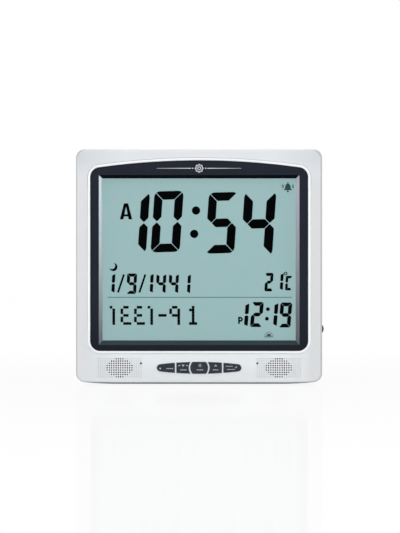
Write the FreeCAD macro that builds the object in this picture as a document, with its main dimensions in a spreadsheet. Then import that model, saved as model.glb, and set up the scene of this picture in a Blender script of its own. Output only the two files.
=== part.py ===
import FreeCAD, Part
import math
import os
import types

import Sketcher

# Prayer-call clock: a flat square case with a large LCD, five keys between two speakers and a
# volume wheel in the right side. X runs to the right, Y into the case and Z up, in millimetres.
# The origin is on the flat foot of the case, half way along it and half way through its depth.

os.makedirs("parts", exist_ok=True)
doc = FreeCAD.newDocument("prayer_clock")

DIMENSIONS = {
    # case shells
    "case_width": 245.0,
    "case_height": 233.6,
    "case_depth": 32.0,
    "front_shell_depth": 15.0,
    "front_wall": 2.4,
    "side_wall": 2.2,
    "rear_wall": 2.2,
    "top_corner": 8.5,
    "foot_corner": 9.0,
    "foot_flat": 161.2,
    "foot_sweep": 320.0,
    "front_edge_round": 2.2,
    "rear_edge_round": 3.5,
    # dark frame round the display, and the bead and groove that run round it
    "bezel_side": 14.2,
    "bezel_bottom": 32.9,
    "bezel_below_top": 11.2,
    "bezel_crown": 720.0,
    "bezel_corner": 9.8,
    "bezel_proud": 0.2,
    "bezel_gap": 0.15,
    "bezel_ledge": 1.0,
    "bead_width": 2.4,
    "bead_height": 0.9,
    "bead_round": 0.7,
    "groove_width": 0.5,
    "groove_depth": 0.3,
    "mouth_side": 8.45,
    "mouth_above": 5.9,
    "mouth_below": 14.5,
    "slope_depth": 3.7,
    "frame_wall": 1.2,
    "throat_gap": 1.3,
    "throat_corner": 3.0,
    "stake_radius": 0.9,
    "stake_head_radius": 1.5,
    "stake_head_depth": 0.6,
    "stake_gap": 0.1,
    "stake_spacing": 66.0,
    # liquid crystal display
    "slope_side": 3.7,
    "slope_above": 4.5,
    "slope_below": 3.3,
    "film_thickness": 0.2,
    "film_margin": 2.5,
    "glass_thickness": 1.1,
    "glass_margin": 4.8,
    "contact_ledge": 3.9,
    "zebra_height": 2.4,
    "zebra_inset": 12.15,
    "zebra_gap": 0.3,
    "holder_thickness": 1.7,
    "holder_gap": 0.3,
    "holder_rim": 2.0,
    "ear_width": 9.0,
    "ear_screw_reach": 7.05,
    "ear_end": 3.7,
    "ear_low": 74.0,
    "ear_high": 180.0,
    "ear_boss": 2.6,
    # circuit boards and what is soldered on them
    "board_thickness": 1.6,
    "board_inset": 4.25,
    "board_drop": 1.9,
    "board_height": 112.4,
    "board_screw_inset": 5.0,
    "tongue_width": 17.0,
    "blob_radius": 8.0,
    "blob_top_radius": 7.2,
    "blob_height": 1.6,
    "blob_rise": 38.0,
    "chip_height": 2.2,
    "chip_lift": 0.3,
    "chip_leg_pitch": 1.27,
    "chip_leg_reach": 1.0,
    "chip_leg_width": 0.4,
    "sound_chip_across": 52.0,
    "sound_chip_rise": 42.0,
    "sound_chip_width": 7.6,
    "sound_chip_length": 18.0,
    "amplifier_across": 58.0,
    "amplifier_rise": 30.0,
    "amplifier_width": 6.4,
    "amplifier_length": 9.6,
    "capacitor_radius": 3.1,
    "capacitor_height": 9.0,
    "capacitor_across": 74.0,
    "capacitor_rise": 24.0,
    "capacitor_spacing": 10.0,
    "inner_capacitor_across": 44.0,
    "crystal_length": 10.6,
    "crystal_width": 4.4,
    "crystal_height": 3.4,
    "crystal_across": 22.0,
    # keys
    "key_height": 16.1,
    "key_strip_tall": 11.4,
    "key_crown": 325.0,
    "key_end": 3.4,
    "middle_key_radius": 8.65,
    "key_spacing": 2.0,
    "outer_key_edge": 24.4,
    "key_gap": 0.25,
    "key_proud": 1.1,
    "key_lip": 0.7,
    "key_lip_thickness": 0.9,
    "key_lip_gap": 0.1,
    "key_bevel": 0.45,
    "dome_height": 2.0,
    "dome_foot": 3.5,
    "dome_top": 2.3,
    "inner_dome": 16.4,
    "outer_dome": 32.0,
    "membrane_width": 90.0,
    "membrane_tall": 18.0,
    "membrane_thickness": 1.0,
    "key_board_gap": 5.3,
    "key_board_tall": 21.0,
    "key_board_screw_gap": 3.5,
    "key_board_boss": 2.3,
    # speakers and the holes in front of them
    "speaker_side": 43.3,
    "speaker_radius": 13.4,
    "speaker_depth": 11.5,
    "flange_thickness": 1.2,
    "gasket_thickness": 0.4,
    "magnet_radius": 7.6,
    "magnet_depth": 4.4,
    "speaker_mouth": 11.6,
    "speaker_ledge": 0.8,
    "speaker_neck": 5.7,
    "cone_thickness": 0.35,
    "cone_depth": 4.0,
    "cone_rim": 1.6,
    "dust_cap_radius": 3.4,
    "speaker_screw_gap": 2.9,
    "hole_pitch": 2.24,
    "hole_radius": 0.73,
    "vent_radius": 1.05,
    "dimple_radius": 0.62,
    "dimple_depth": 0.5,
    "sensor_radius": 1.4,
    "sensor_length": 2.4,
    "sensor_leg_radius": 0.28,
    "sensor_stand_off": 0.7,
    # volume wheel
    "wheel_height": 54.5,
    "wheel_radius": 6.5,
    "wheel_proud": 2.1,
    "wheel_thickness": 2.4,
    "wheel_gap": 0.4,
    "spindle_radius": 1.5,
    "spindle_gap": 0.05,
    "pot_length": 13.2,
    "pot_tall": 11.0,
    "pot_thickness": 2.1,
    "knurl_radius": 0.4,
    "knurl_count": 26,
    # cells, bay and door
    "cell_radius": 7.1,
    "cell_length": 49.2,
    "cell_nub_radius": 2.7,
    "cell_nub_length": 1.2,
    "cell_spacing": 14.8,
    "bay_height": 150.0,
    "bay_gap": 0.5,
    "bay_wall": 1.4,
    "contact_room": 4.2,
    "contact_thickness": 0.4,
    "contact_size": 9.0,
    "tag_width": 3.0,
    "tag_reach": 2.4,
    "tag_gap": 0.3,
    "coil_wire": 0.35,
    "coil_radius": 2.6,
    "coil_pitch": 1.25,
    "door_overlap": 2.2,
    "door_gap": 0.3,
    "door_thickness": 2.0,
    "tab_width": 8.0,
    "tab_reach": 1.7,
    "tab_thickness": 1.6,
    "tab_gap": 0.5,
    "tab_spacing": 34.0,
    "latch_width": 12.0,
    "latch_depth": 2.6,
    "latch_gap": 0.7,
    "grip_tall": 3.0,
    "grip_depth": 0.8,
    # fold-out leg
    "leg_width": 66.0,
    "leg_foot": 8.0,
    "leg_hinge": 110.0,
    "leg_thickness": 3.0,
    "leg_inset": 0.2,
    "leg_gap": 0.6,
    "knuckle_radius": 2.4,
    "knuckle_gap": 0.3,
    "leg_pin_radius": 1.5,
    "leg_pin_gap": 0.06,
    "leg_pin_length": 2.2,
    "leg_corner": 6.0,
    "rib_thickness": 2.0,
    "notch_width": 24.0,
    "notch_rise": 8.0,
    # screws, wall hanging and sound slots
    "post_side": 10.5,
    "post_low": 14.0,
    "post_middle": 118.0,
    "post_below_top": 12.1,
    "post_radius": 4.7,
    "boss_radius": 3.4,
    "post_floor": 2.4,
    "post_face": 3.0,
    "screw_radius": 1.4,
    "screw_head_radius": 2.8,
    "screw_head_depth": 2.0,
    "screw_hole_gap": 0.25,
    "screw_well_gap": 0.5,
    "screw_length": 10.0,
    "thread_gap": 0.02,
    "small_screw_bite": 0.4,
    "small_pilot_spare": 0.2,
    "small_screw_radius": 1.1,
    "small_head_radius": 2.2,
    "small_head_depth": 1.3,
    "washer_head_radius": 3.7,
    "hanger_height": 200.0,
    "hanger_radius": 4.6,
    "hanger_slot_radius": 2.3,
    "hanger_rise": 9.0,
    "slot_length": 20.0,
    "slot_height": 1.8,
    "slot_spacing": 4.4,
    "lead_radius": 0.6,
    "lead_root": 9.5,
    "lead_stub": 3.5,
    "lead_arch": 3.6,
    "lead_spread": 3.0,
    "speaker_lead_rise": 10.0,
    "battery_lead_reach": 12.0,
    "battery_lead_bow": 5.0,
    "battery_lead_drop": 20.0,
}

GRILLE_ROWS = (4, 8, 10, 12, 12, 12, 10, 8, 4)  # open holes in each row, from the top down
GRILLE_COLUMNS = 20
VENT_ROW = 2  # the row whose innermost place is open too
SOUND_SLOTS = 5
CELLS = 3
COIL_SIDES = 12  # straight runs in one turn of a battery spring
MITRED = 1  # the kind of corner that a pipe takes where its path turns sharply
PAST = 1  # how far a cut runs past the face that it opens
CROSS_ARM, CROSS_BLADE = 0.6, 0.12  # half length and half width of a screw's cross, per head radius

sheet = doc.addObject("Spreadsheet::Sheet", "Sizes")
for row, (alias, length) in enumerate(DIMENSIONS.items(), start=1):
    sheet.set(f"A{row}", alias)
    sheet.set(f"B{row}", str(length))
    sheet.setAlias(f"B{row}", alias)
doc.recompute()


class Size:
    """A length that carries its number together with the sheet formula that gives it."""

    def __init__(self, number, formula):
        self.number = number
        self.formula = formula

    def __add__(self, other):
        return Size(self.number + number_of(other), f"({self.formula} + {formula_of(other)})")

    def __sub__(self, other):
        return Size(self.number - number_of(other), f"({self.formula} - {formula_of(other)})")

    def __rsub__(self, other):
        return Size(number_of(other) - self.number, f"({formula_of(other)} - {self.formula})")

    def __mul__(self, other):
        return Size(self.number * number_of(other), f"({self.formula} * {formula_of(other)})")

    def __truediv__(self, other):
        return Size(self.number / number_of(other), f"({self.formula} / {formula_of(other)})")

    def __neg__(self):
        return 0 - self

    __radd__ = __add__
    __rmul__ = __mul__


zero = Size(0, "0")


def number_of(value):
    return value.number if isinstance(value, Size) else float(value)


def formula_of(value):
    return value.formula if isinstance(value, Size) else f"{float(value):.6f}"


def root(value):
    return Size(math.sqrt(value.number), f"sqrt({value.formula})")


def bind(thing, path, value):
    thing.setExpression(path, formula_of(value))


size = types.SimpleNamespace(
    **{alias: Size(float(getattr(sheet, alias)), f"Sizes.{alias}") for alias in DIMENSIONS}
)


# ---- levels through the depth of the clock, from the front to the back

front_face = -size.case_depth / 2
back_face = size.case_depth / 2
parting = front_face + size.front_shell_depth
front_inside = front_face + size.front_wall
back_inside = back_face - size.rear_wall
bead_crest = front_face - size.bead_height
bezel_front = front_face - size.bezel_proud
bezel_seat = front_inside - size.bezel_ledge
frame_back = bezel_front + size.slope_depth
front_glass_face = frame_back + size.film_thickness
rear_glass_face = front_glass_face + size.glass_thickness
reflector_face = rear_glass_face + size.glass_thickness
holder_face = reflector_face + size.film_thickness
board_face = holder_face + size.holder_thickness
board_back = board_face + size.board_thickness
key_front = front_face - size.key_proud
key_lip_front = front_inside + size.key_lip_gap
key_lip_back = key_lip_front + size.key_lip_thickness
membrane_face = key_lip_back + size.dome_height
key_board_face = membrane_face + size.membrane_thickness
key_board_back = key_board_face + size.board_thickness
post_end = parting + size.post_face
post_seat = post_end + size.post_floor
bay_floor = back_inside - size.bay_gap - 2 * size.cell_radius - size.bay_gap
cell_centre = bay_floor + size.bay_gap / 2 + size.cell_radius
leg_back = back_face - size.leg_inset
leg_front = leg_back - size.leg_thickness
knuckle_centre = leg_back - size.knuckle_radius
leg_recess = knuckle_centre - size.knuckle_radius - size.knuckle_gap
wheel_centre = size.case_width / 2 + size.wheel_proud - size.wheel_radius
wheel_front = board_back + size.pot_thickness + size.wheel_gap / 2
wheel_back = wheel_front + size.wheel_thickness


# ---- edges across the clock, from the case inwards

post_across = size.case_width / 2 - size.post_side
speaker_across = size.case_width / 2 - size.speaker_side
key_board_half = speaker_across - size.speaker_radius - size.key_board_gap
bezel_half = size.case_width / 2 - size.bezel_side
bezel_top = size.case_height - size.bezel_below_top
mouth_half = bezel_half - size.mouth_side
mouth_low = size.bezel_bottom + size.mouth_above
mouth_high = bezel_top - size.mouth_below
view_half = mouth_half - size.slope_side
view_low = mouth_low + size.slope_above
view_high = mouth_high - size.slope_below
glass_low = view_low - size.glass_margin
holder_half = view_half + size.glass_margin + size.holder_gap + size.holder_rim
ear_screw = holder_half + size.ear_screw_reach
board_half = holder_half - size.board_inset
board_low = glass_low - size.board_drop
board_high = board_low + size.board_height


# ---- sketches and solids that every sub-part uses


def draw_loop(sketch, steps):
    """Draws a closed outline. A step is its start (x, z) and, for a round stretch, the arc to the
    next start as (radius, centre x, centre z, turns left)."""
    first = sketch.GeometryCount
    ends = []
    for index, (x, z, arc) in enumerate(steps):
        next_x, next_z, _ = steps[(index + 1) % len(steps)]
        here = FreeCAD.Vector(number_of(x), number_of(z), 0)
        there = FreeCAD.Vector(number_of(next_x), number_of(next_z), 0)
        if arc is None:
            sketch.addGeometry(Part.LineSegment(here, there), False)
            ends.append((1, 2))
            continue
        radius, centre_x, centre_z, left = arc
        centre = FreeCAD.Vector(number_of(centre_x), number_of(centre_z), 0)
        circle = Part.Circle(centre, FreeCAD.Vector(0, 0, 1), number_of(radius))
        angles = [math.atan2(p.y - centre.y, p.x - centre.x) for p in (here, there)]
        low, high = angles if left else reversed(angles)
        high += 2 * math.pi if high < low else 0
        sketch.addGeometry(Part.ArcOfCircle(circle, low, high), False)
        ends.append((1, 2) if left else (2, 1))
    for index, (x, z, arc) in enumerate(steps):
        geometry = first + index
        begin, end = ends[index]
        after = (index + 1) % len(steps)
        joint = Sketcher.Constraint("Coincident", geometry, end, first + after, ends[after][0])
        sketch.addConstraint(joint)
        pin_point(sketch, geometry, begin, x, z)
        if arc is not None:
            measure(sketch, Sketcher.Constraint("Radius", geometry, number_of(arc[0])), arc[0])


def measure(sketch, constraint, value):
    index = sketch.addConstraint(constraint)
    bind(sketch, f"Constraints[{index}]", value)


def pin_point(sketch, geometry, point, x, z):
    for kind, value in (("DistanceX", x), ("DistanceY", z)):
        constraint = Sketcher.Constraint(kind, -1, 1, geometry, point, number_of(value))
        measure(sketch, constraint, value)


def draw_rectangle(sketch, x_span, z_span):
    (left, right), (low, high) = x_span, z_span
    corners = ((left, low), (right, low), (right, high), (left, high))
    draw_loop(sketch, [(x, z, None) for x, z in corners])


def draw_rounded(sketch, x_span, z_span, radius):
    """A rectangle with four equal round corners."""
    (left, right), (low, high) = x_span, z_span
    steps = []
    for x, z, across, up in (
        (right, low, -1, 1),
        (right, high, -1, -1),
        (left, high, 1, -1),
        (left, low, 1, 1),
    ):
        centre = (x + across * radius, z + up * radius)
        side = (x, z + up * radius)
        level = (x + across * radius, z)
        begin, end = (level, side) if across * up < 0 else (side, level)
        steps.append((*begin, (radius, *centre, True)))
        steps.append((*end, None))
    draw_loop(sketch, steps)


def draw_circle(sketch, x, z, radius):
    centre = FreeCAD.Vector(number_of(x), number_of(z), 0)
    circle = Part.Circle(centre, FreeCAD.Vector(0, 0, 1), number_of(radius))
    geometry = sketch.addGeometry(circle, False)
    pin_point(sketch, geometry, 3, x, z)
    measure(sketch, Sketcher.Constraint("Radius", geometry, number_of(radius)), radius)


def new_sketch(body, name, depth):
    """A sketch across the clock at that depth, with X to its right and Z up."""
    sketch = body.newObject("Sketcher::SketchObject", name)
    plane = next(f for f in body.Origin.OriginFeatures if f.Role == "XZ_Plane")
    sketch.AttachmentSupport = [(plane, "")]
    sketch.MapMode = "FlatFace"
    bind(sketch, "AttachmentOffset.Base.z", -depth)
    return sketch


def pad(body, name, sketch, length):
    """Material from the sketch's depth towards the front."""
    feature = body.newObject("PartDesign::Pad", name)
    feature.Profile = sketch
    bind(feature, "Length", length)
    sketch.Visibility = False
    return feature


def pocket(body, name, sketch, length):
    """A cut from the sketch's depth towards the back."""
    feature = body.newObject("PartDesign::Pocket", name)
    feature.Profile = sketch
    bind(feature, "Length", length)
    sketch.Visibility = False
    return feature


def padded(body, name, span, draw):
    front, back = span
    sketch = new_sketch(body, name + "_sketch", back)
    draw(sketch)
    return pad(body, name, sketch, back - front)


def pocketed(body, name, span, draw):
    front, back = span
    sketch = new_sketch(body, name + "_sketch", front)
    draw(sketch)
    return pocket(body, name, sketch, back - front)


def flat_edges(shape, depth, keep=lambda centre: True):
    """Names of the edges that lie wholly at one depth."""
    names = []
    for index, edge in enumerate(shape.Edges, start=1):
        box = edge.BoundBox
        at_depth = abs(box.YMin - depth) < 1e-4 and abs(box.YMax - depth) < 1e-4
        if at_depth and keep(edge.CenterOfMass):
            names.append(f"Edge{index}")
    return names


def round_edges(body, name, base, depth, radius, keep=lambda centre: True):
    doc.recompute()
    feature = body.newObject("PartDesign::Fillet", name)
    feature.Base = (base, flat_edges(base.Shape, number_of(depth), keep))
    bind(feature, "Radius", radius)
    return feature


def box(name, x_span, y_span, z_span):
    made = doc.addObject("Part::Box", name)
    sides = (("Length", "x", x_span), ("Width", "y", y_span), ("Height", "z", z_span))
    for side, axis, (low, high) in sides:
        bind(made, side, high - low)
        bind(made, f"Placement.Base.{axis}", low)
    return made


def place(made, x, y, z):
    for axis, value in (("x", x), ("y", y), ("z", z)):
        bind(made, f"Placement.Base.{axis}", value)


def rod(name, x, z, radius, y_span, tip=None):
    """A cylinder along Y, or a cone where the far end's radius is given."""
    made = doc.addObject("Part::Cone" if tip is not None else "Part::Cylinder", name)
    made.Placement.Rotation = FreeCAD.Rotation(FreeCAD.Vector(1, 0, 0), -90)
    place(made, x, y_span[0], z)
    bind(made, "Height", y_span[1] - y_span[0])
    bind(made, "Radius" if tip is None else "Radius1", radius)
    if tip is not None:
        bind(made, "Radius2", tip)
    return made


def bar(name, y, z, radius, x_span):
    """A cylinder along X."""
    made = doc.addObject("Part::Cylinder", name)
    made.Placement.Rotation = FreeCAD.Rotation(FreeCAD.Vector(0, 1, 0), 90)
    place(made, x_span[0], y, z)
    bind(made, "Height", x_span[1] - x_span[0])
    bind(made, "Radius", radius)
    return made


def fused(name, *pieces):
    made = doc.addObject("Part::MultiFuse", name)
    made.Shapes = list(pieces)
    made.Refine = True
    return made


def grouped(name, pieces):
    made = doc.addObject("Part::Compound", name)
    made.Links = list(pieces)
    return made


def cut(name, base, *tools):
    made = doc.addObject("Part::Cut", name)
    made.Base = base
    made.Tool = tools[0] if len(tools) == 1 else grouped(name + "_tools", tools)
    return made


def common(name, *pieces):
    made = doc.addObject("Part::MultiCommon", name)
    made.Shapes = list(pieces)
    return made


nodes = []


def keep_node(label, made):
    made.Label = label
    nodes.append(made)
    return made


def both_ways(value):
    return (-value, value)


# ---- outlines


def draw_case(sketch, inset):
    """The case from the front: a flat foot that sweeps up to its lower corners, straight sides and
    a straight top, drawn inside itself by the inset."""
    half = size.case_width / 2 - inset
    top = size.case_height - inset
    corner = size.top_corner - inset
    foot = size.foot_corner - inset
    sweep = size.foot_sweep - inset
    flat = size.foot_flat / 2
    corner_x = half - foot
    reach = sweep - foot
    corner_z = size.foot_sweep - root(reach * reach - (corner_x - flat) * (corner_x - flat))
    join_x = flat + (corner_x - flat) * sweep / reach
    join_z = size.foot_sweep + (corner_z - size.foot_sweep) * sweep / reach
    draw_loop(
        sketch,
        [
            (-flat, inset, None),
            (flat, inset, (sweep, flat, size.foot_sweep, True)),
            (join_x, join_z, (foot, corner_x, corner_z, True)),
            (half, corner_z, None),
            (half, top - corner, (corner, half - corner, top - corner, True)),
            (half - corner, top, None),
            (corner - half, top, (corner, corner - half, top - corner, True)),
            (-half, top - corner, None),
            (-half, corner_z, (foot, -corner_x, corner_z, True)),
            (-join_x, join_z, (sweep, -flat, size.foot_sweep, True)),
        ],
    )


def draw_bezel(sketch, grow):
    """The dark frame from the front, with its crowned top, drawn outside itself by grow."""
    half = bezel_half + grow
    low = size.bezel_bottom - grow
    crown = size.bezel_crown + grow
    corner = size.bezel_corner + grow
    crown_z = bezel_top - size.bezel_crown
    corner_x = half - corner
    reach = crown - corner
    corner_z = crown_z + root(reach * reach - corner_x * corner_x)
    join_x = corner_x * crown / reach
    join_z = crown_z + (corner_z - crown_z) * crown / reach
    draw_loop(
        sketch,
        [
            (-corner_x, low, None),
            (corner_x, low, (corner, corner_x, low + corner, True)),
            (half, low + corner, None),
            (half, corner_z, (corner, corner_x, corner_z, True)),
            (join_x, join_z, (crown, 0, crown_z, True)),
            (-join_x, join_z, (corner, -corner_x, corner_z, True)),
            (-half, corner_z, None),
            (-half, low + corner, (corner, -corner_x, low + corner, True)),
        ],
    )


def draw_keyhole(sketch):
    """A round entry with a narrow slot above it."""
    entry, slot = size.hanger_radius, size.hanger_slot_radius
    low = size.hanger_height
    high = low + size.hanger_rise
    neck = low + root(entry * entry - slot * slot)
    draw_loop(
        sketch,
        [
            (slot, neck, None),
            (slot, high, (slot, 0, high, True)),
            (zero, high + slot, (slot, 0, high, True)),
            (-slot, high, None),
            (-slot, neck, (entry, 0, low, True)),
        ],
    )


def mouth_spans(grow=0):
    return both_ways(mouth_half + grow), (mouth_low - grow, mouth_high + grow)


def view_spans():
    return both_ways(view_half), (view_low, view_high)


def glass_spans(grow=0):
    across = both_ways(view_half + size.glass_margin + grow)
    return across, (glass_low - grow, view_high + size.glass_margin + grow)


# ---- places that several pieces share


def post_places():
    heights = (size.post_low, size.post_middle, size.case_height - size.post_below_top)
    return [(side * post_across, z) for side in (-1, 1) for z in heights]


def ear_sides():
    return [(side, z) for side in (-1, 1) for z in (size.ear_low, size.ear_high)]


def ear_places():
    return [(side * ear_screw, z) for side, z in ear_sides()]


def stake_places():
    middle = (size.bezel_bottom + bezel_top) / 2
    across = (bezel_half + mouth_half + size.frame_wall + size.throat_gap) / 2
    rises = (-size.stake_spacing, zero, size.stake_spacing)
    return [(side * across, middle + rise) for side in (-1, 1) for rise in rises]


def board_screw_places():
    inset = size.board_screw_inset
    across = board_half - inset
    heights = (board_low + inset + size.contact_ledge, board_high - inset)
    return [(side * across, z) for side in (-1, 1) for z in heights]


def speaker_screw_places(side):
    """One screw beyond the speaker's outer edge and one above its inner edge."""
    away = size.speaker_radius + size.speaker_screw_gap
    diagonal = away / math.sqrt(2)
    beside = (side * (speaker_across + away), size.key_height)
    above = (side * (speaker_across - diagonal), size.key_height + diagonal)
    return [beside, above]


def key_board_screw_places():
    across = size.membrane_width / 2 + size.key_board_screw_gap
    return [(side * across, size.key_height) for side in (-1, 1)]


def draw_circles(places, radius):
    def draw(sketch):
        for x, z in places:
            draw_circle(sketch, x, z, radius)

    return draw


# ---- keys, and the openings that they come through

KEYS = ("left_end_key", "left_key", "centre_key", "right_key", "right_end_key")


def key_strip(name, grow, y_span):
    """The spindle shape that all five keys share, from its crowned edges to its round ends."""
    crown = size.key_crown + grow
    end = size.key_end + grow
    sag = size.key_crown - size.key_strip_tall / 2
    reach = size.key_crown - size.key_end
    end_x = root(reach * reach - sag * sag)
    join_x = end_x * crown / reach
    join_z = sag * crown / reach - sag
    level = size.key_height
    sketch = doc.addObject("Sketcher::SketchObject", name + "_sketch")
    sketch.Placement.Rotation = FreeCAD.Rotation(FreeCAD.Vector(1, 0, 0), 90)
    bind(sketch, "Placement.Base.y", y_span[1])
    draw_loop(
        sketch,
        [
            (-join_x, level - join_z, (crown, 0, level + sag, True)),
            (join_x, level - join_z, (end, end_x, level, True)),
            (join_x, level + join_z, (crown, 0, level - sag, True)),
            (-join_x, level + join_z, (end, -end_x, level, True)),
        ],
    )
    strip = doc.addObject("Part::Extrusion", name)
    strip.Base = sketch
    strip.DirMode = "Custom"
    strip.Dir = FreeCAD.Vector(0, -1, 0)
    strip.Solid = True
    bind(strip, "LengthFwd", y_span[1] - y_span[0])
    return strip


def key_solid(index, name, grow, y_span):
    """One key's length of the strip. The middle key is round, and its neighbours curve round it."""
    strip = key_strip(name + "_strip", grow, y_span)
    middle = size.middle_key_radius
    level = size.key_height
    if index == 2:
        return common(name, strip, rod(name + "_round", 0, level, middle + grow, y_span))
    side = -1 if index < 2 else 1
    end_key = index in (0, 4)
    near = size.outer_key_edge - grow if end_key else zero
    far = size.case_width / 2 if end_key else size.outer_key_edge - size.key_spacing + grow
    span = (near, far) if side > 0 else (-far, -near)
    tall = (level - size.key_strip_tall, level + size.key_strip_tall)
    length = common(name + "_length", strip, box(name + "_slice", span, y_span, tall))
    if end_key:
        return length
    hollow = middle + size.key_spacing - grow
    return cut(name, length, rod(name + "_hollow", 0, level, hollow, y_span))


def make_keys():
    for index, name in enumerate(KEYS):
        cap = key_solid(index, name + "_cap", 0, (key_front, key_lip_front))
        lip = key_solid(index, name + "_lip", size.key_lip, (key_lip_front, key_lip_back))
        whole = fused(name + "_solid", cap, lip)
        doc.recompute()
        bevelled = doc.addObject("Part::Chamfer", name)
        bevelled.Base = whole
        bevel = size.key_bevel.number
        edges = flat_edges(whole.Shape, key_front.number)
        bevelled.Edges = [(int(edge[4:]), bevel, bevel) for edge in edges]
        keep_node(name, bevelled)


# ---- case


def grille_tools():
    """Drills for the holes in front of both speakers, the vent beside each and the blind dimples."""
    pitch = size.hole_pitch.number
    through = size.front_wall.number + 2 * PAST
    drills = []
    back = FreeCAD.Vector(0, 1, 0)
    for side in (-1, 1):
        for row, count in enumerate(GRILLE_ROWS):
            z = size.key_height.number + (len(GRILLE_ROWS) // 2 - row) * pitch
            for column in range(GRILLE_COLUMNS):
                step = column - (GRILLE_COLUMNS - 1) / 2
                x = side * (speaker_across.number + step * pitch)
                start = FreeCAD.Vector(x, front_face.number - PAST, z)
                if row == VENT_ROW and column == 0:
                    radius, depth = size.vent_radius.number, through
                elif abs(step) < count / 2:
                    radius, depth = size.hole_radius.number, through
                else:
                    radius, depth = size.dimple_radius.number, size.dimple_depth.number + PAST
                drills.append(Part.makeCylinder(radius, depth, start, back))
    tools = doc.addObject("Part::Feature", "grille_drills")
    tools.Shape = Part.makeCompound(drills)
    return tools


def front_shell():
    body = doc.addObject("PartDesign::Body", "front_shell")
    block = padded(body, "front_block", (front_face, parting), lambda s: draw_case(s, zero))
    round_edges(body, "front_round", block, front_face, size.front_edge_round)
    pocketed(
        body,
        "front_cavity",
        (front_inside, parting + PAST),
        lambda s: draw_case(s, size.side_wall),
    )
    bead_outside = size.bezel_gap + size.bead_width
    bead = padded(
        body, "bead", (bead_crest, front_face), lambda s: draw_bezel(s, bead_outside)
    )
    round_edges(body, "bead_outer_round", bead, bead_crest, size.bead_round)
    seat = pocketed(
        body,
        "bezel_recess",
        (bead_crest - PAST, bezel_seat),
        lambda s: draw_bezel(s, size.bezel_gap),
    )
    half = (bezel_half + size.bezel_gap + size.bead_width / 2).number
    middle = (size.bezel_bottom + bezel_top).number / 2
    tall = (bezel_top - size.bezel_bottom).number / 2 + bead_outside.number / 2

    def is_inner(centre):
        return abs(centre.x) < half and abs(centre.z - middle) < tall

    round_edges(body, "bead_inner_round", seat, bead_crest, size.bead_round, is_inner)

    def draw_groove(sketch):
        draw_bezel(sketch, bead_outside + size.groove_width)
        draw_bezel(sketch, bead_outside)

    pocketed(body, "groove", (front_face, front_face + size.groove_depth), draw_groove)

    def draw_throat(sketch):
        draw_rounded(sketch, *mouth_spans(size.frame_wall + size.throat_gap), size.throat_corner)

    pocketed(
        body,
        "throat",
        (front_face - PAST, front_inside + PAST),
        draw_throat,
    )
    pocketed(
        body,
        "stake_holes",
        (bezel_seat - PAST, front_inside + PAST),
        draw_circles(stake_places(), size.stake_radius + size.stake_gap),
    )
    return body


def front_bosses(body):
    """Posts behind the front wall for the case, display, key board and speaker screws."""
    speaker_screws = speaker_screw_places(-1) + speaker_screw_places(1)
    flange_back = front_inside + size.gasket_thickness + size.flange_thickness
    for name, places, end, radius in (
        ("case_bosses", post_places(), post_end, size.boss_radius),
        ("ear_bosses", ear_places(), holder_face, size.ear_boss),
        ("key_board_bosses", key_board_screw_places(), key_board_face, size.key_board_boss),
        ("speaker_bosses", speaker_screws, flange_back, size.ear_boss),
    ):
        padded(body, name, (front_inside, end), draw_circles(places, radius))
    large = size.screw_radius + size.thread_gap
    small = size.small_screw_radius + size.thread_gap
    pocketed(
        body,
        "case_pilots",
        (post_seat - size.screw_length - PAST, post_end + PAST),
        draw_circles(post_places(), large),
    )
    pilot_floor = front_inside - size.small_screw_bite - size.small_pilot_spare
    for name, places, end in (
        ("ear_pilots", ear_places(), holder_face),
        ("key_board_pilots", key_board_screw_places(), key_board_face),
        ("speaker_pilots", speaker_screws, flange_back),
    ):
        pocketed(body, name, (pilot_floor, end + PAST), draw_circles(places, small))


def make_front_case():
    body = front_shell()
    front_bosses(body)
    tall = size.wheel_radius + size.wheel_gap
    rise = (size.wheel_height - tall, size.wheel_height + tall)
    inner = size.case_width / 2 - size.side_wall
    across = (inner - PAST, size.case_width / 2 + PAST)
    pocketed(
        body,
        "wheel_slot",
        (wheel_front - size.wheel_gap, parting + PAST),
        lambda s: draw_rectangle(s, across, rise),
    )
    openings = [
        key_solid(index, f"{name}_opening", size.key_gap, (front_face - PAST, front_inside + PAST))
        for index, name in enumerate(KEYS)
    ]
    drilled = cut("drilled_front", body, grille_tools())
    keep_node("front_case", cut("front_case", drilled, *openings))


def bay_spans(grow=0):
    half = size.cell_length / 2 + size.contact_room + grow
    tall = size.cell_spacing * CELLS / 2 + size.bay_gap / 2 + grow
    return both_ways(half), (size.bay_height - tall, size.bay_height + tall)


def door_spans(grow=0):
    return bay_spans(size.door_overlap + grow)


def leg_spans(grow=0):
    return both_ways(size.leg_width / 2 + grow), (size.leg_foot, size.leg_hinge)


def recess_spans(grow=0):
    across, (low, high) = leg_spans(size.leg_gap + grow)
    top = high + size.knuckle_radius + size.leg_gap + grow
    return across, (low - size.leg_gap - grow, top)


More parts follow.
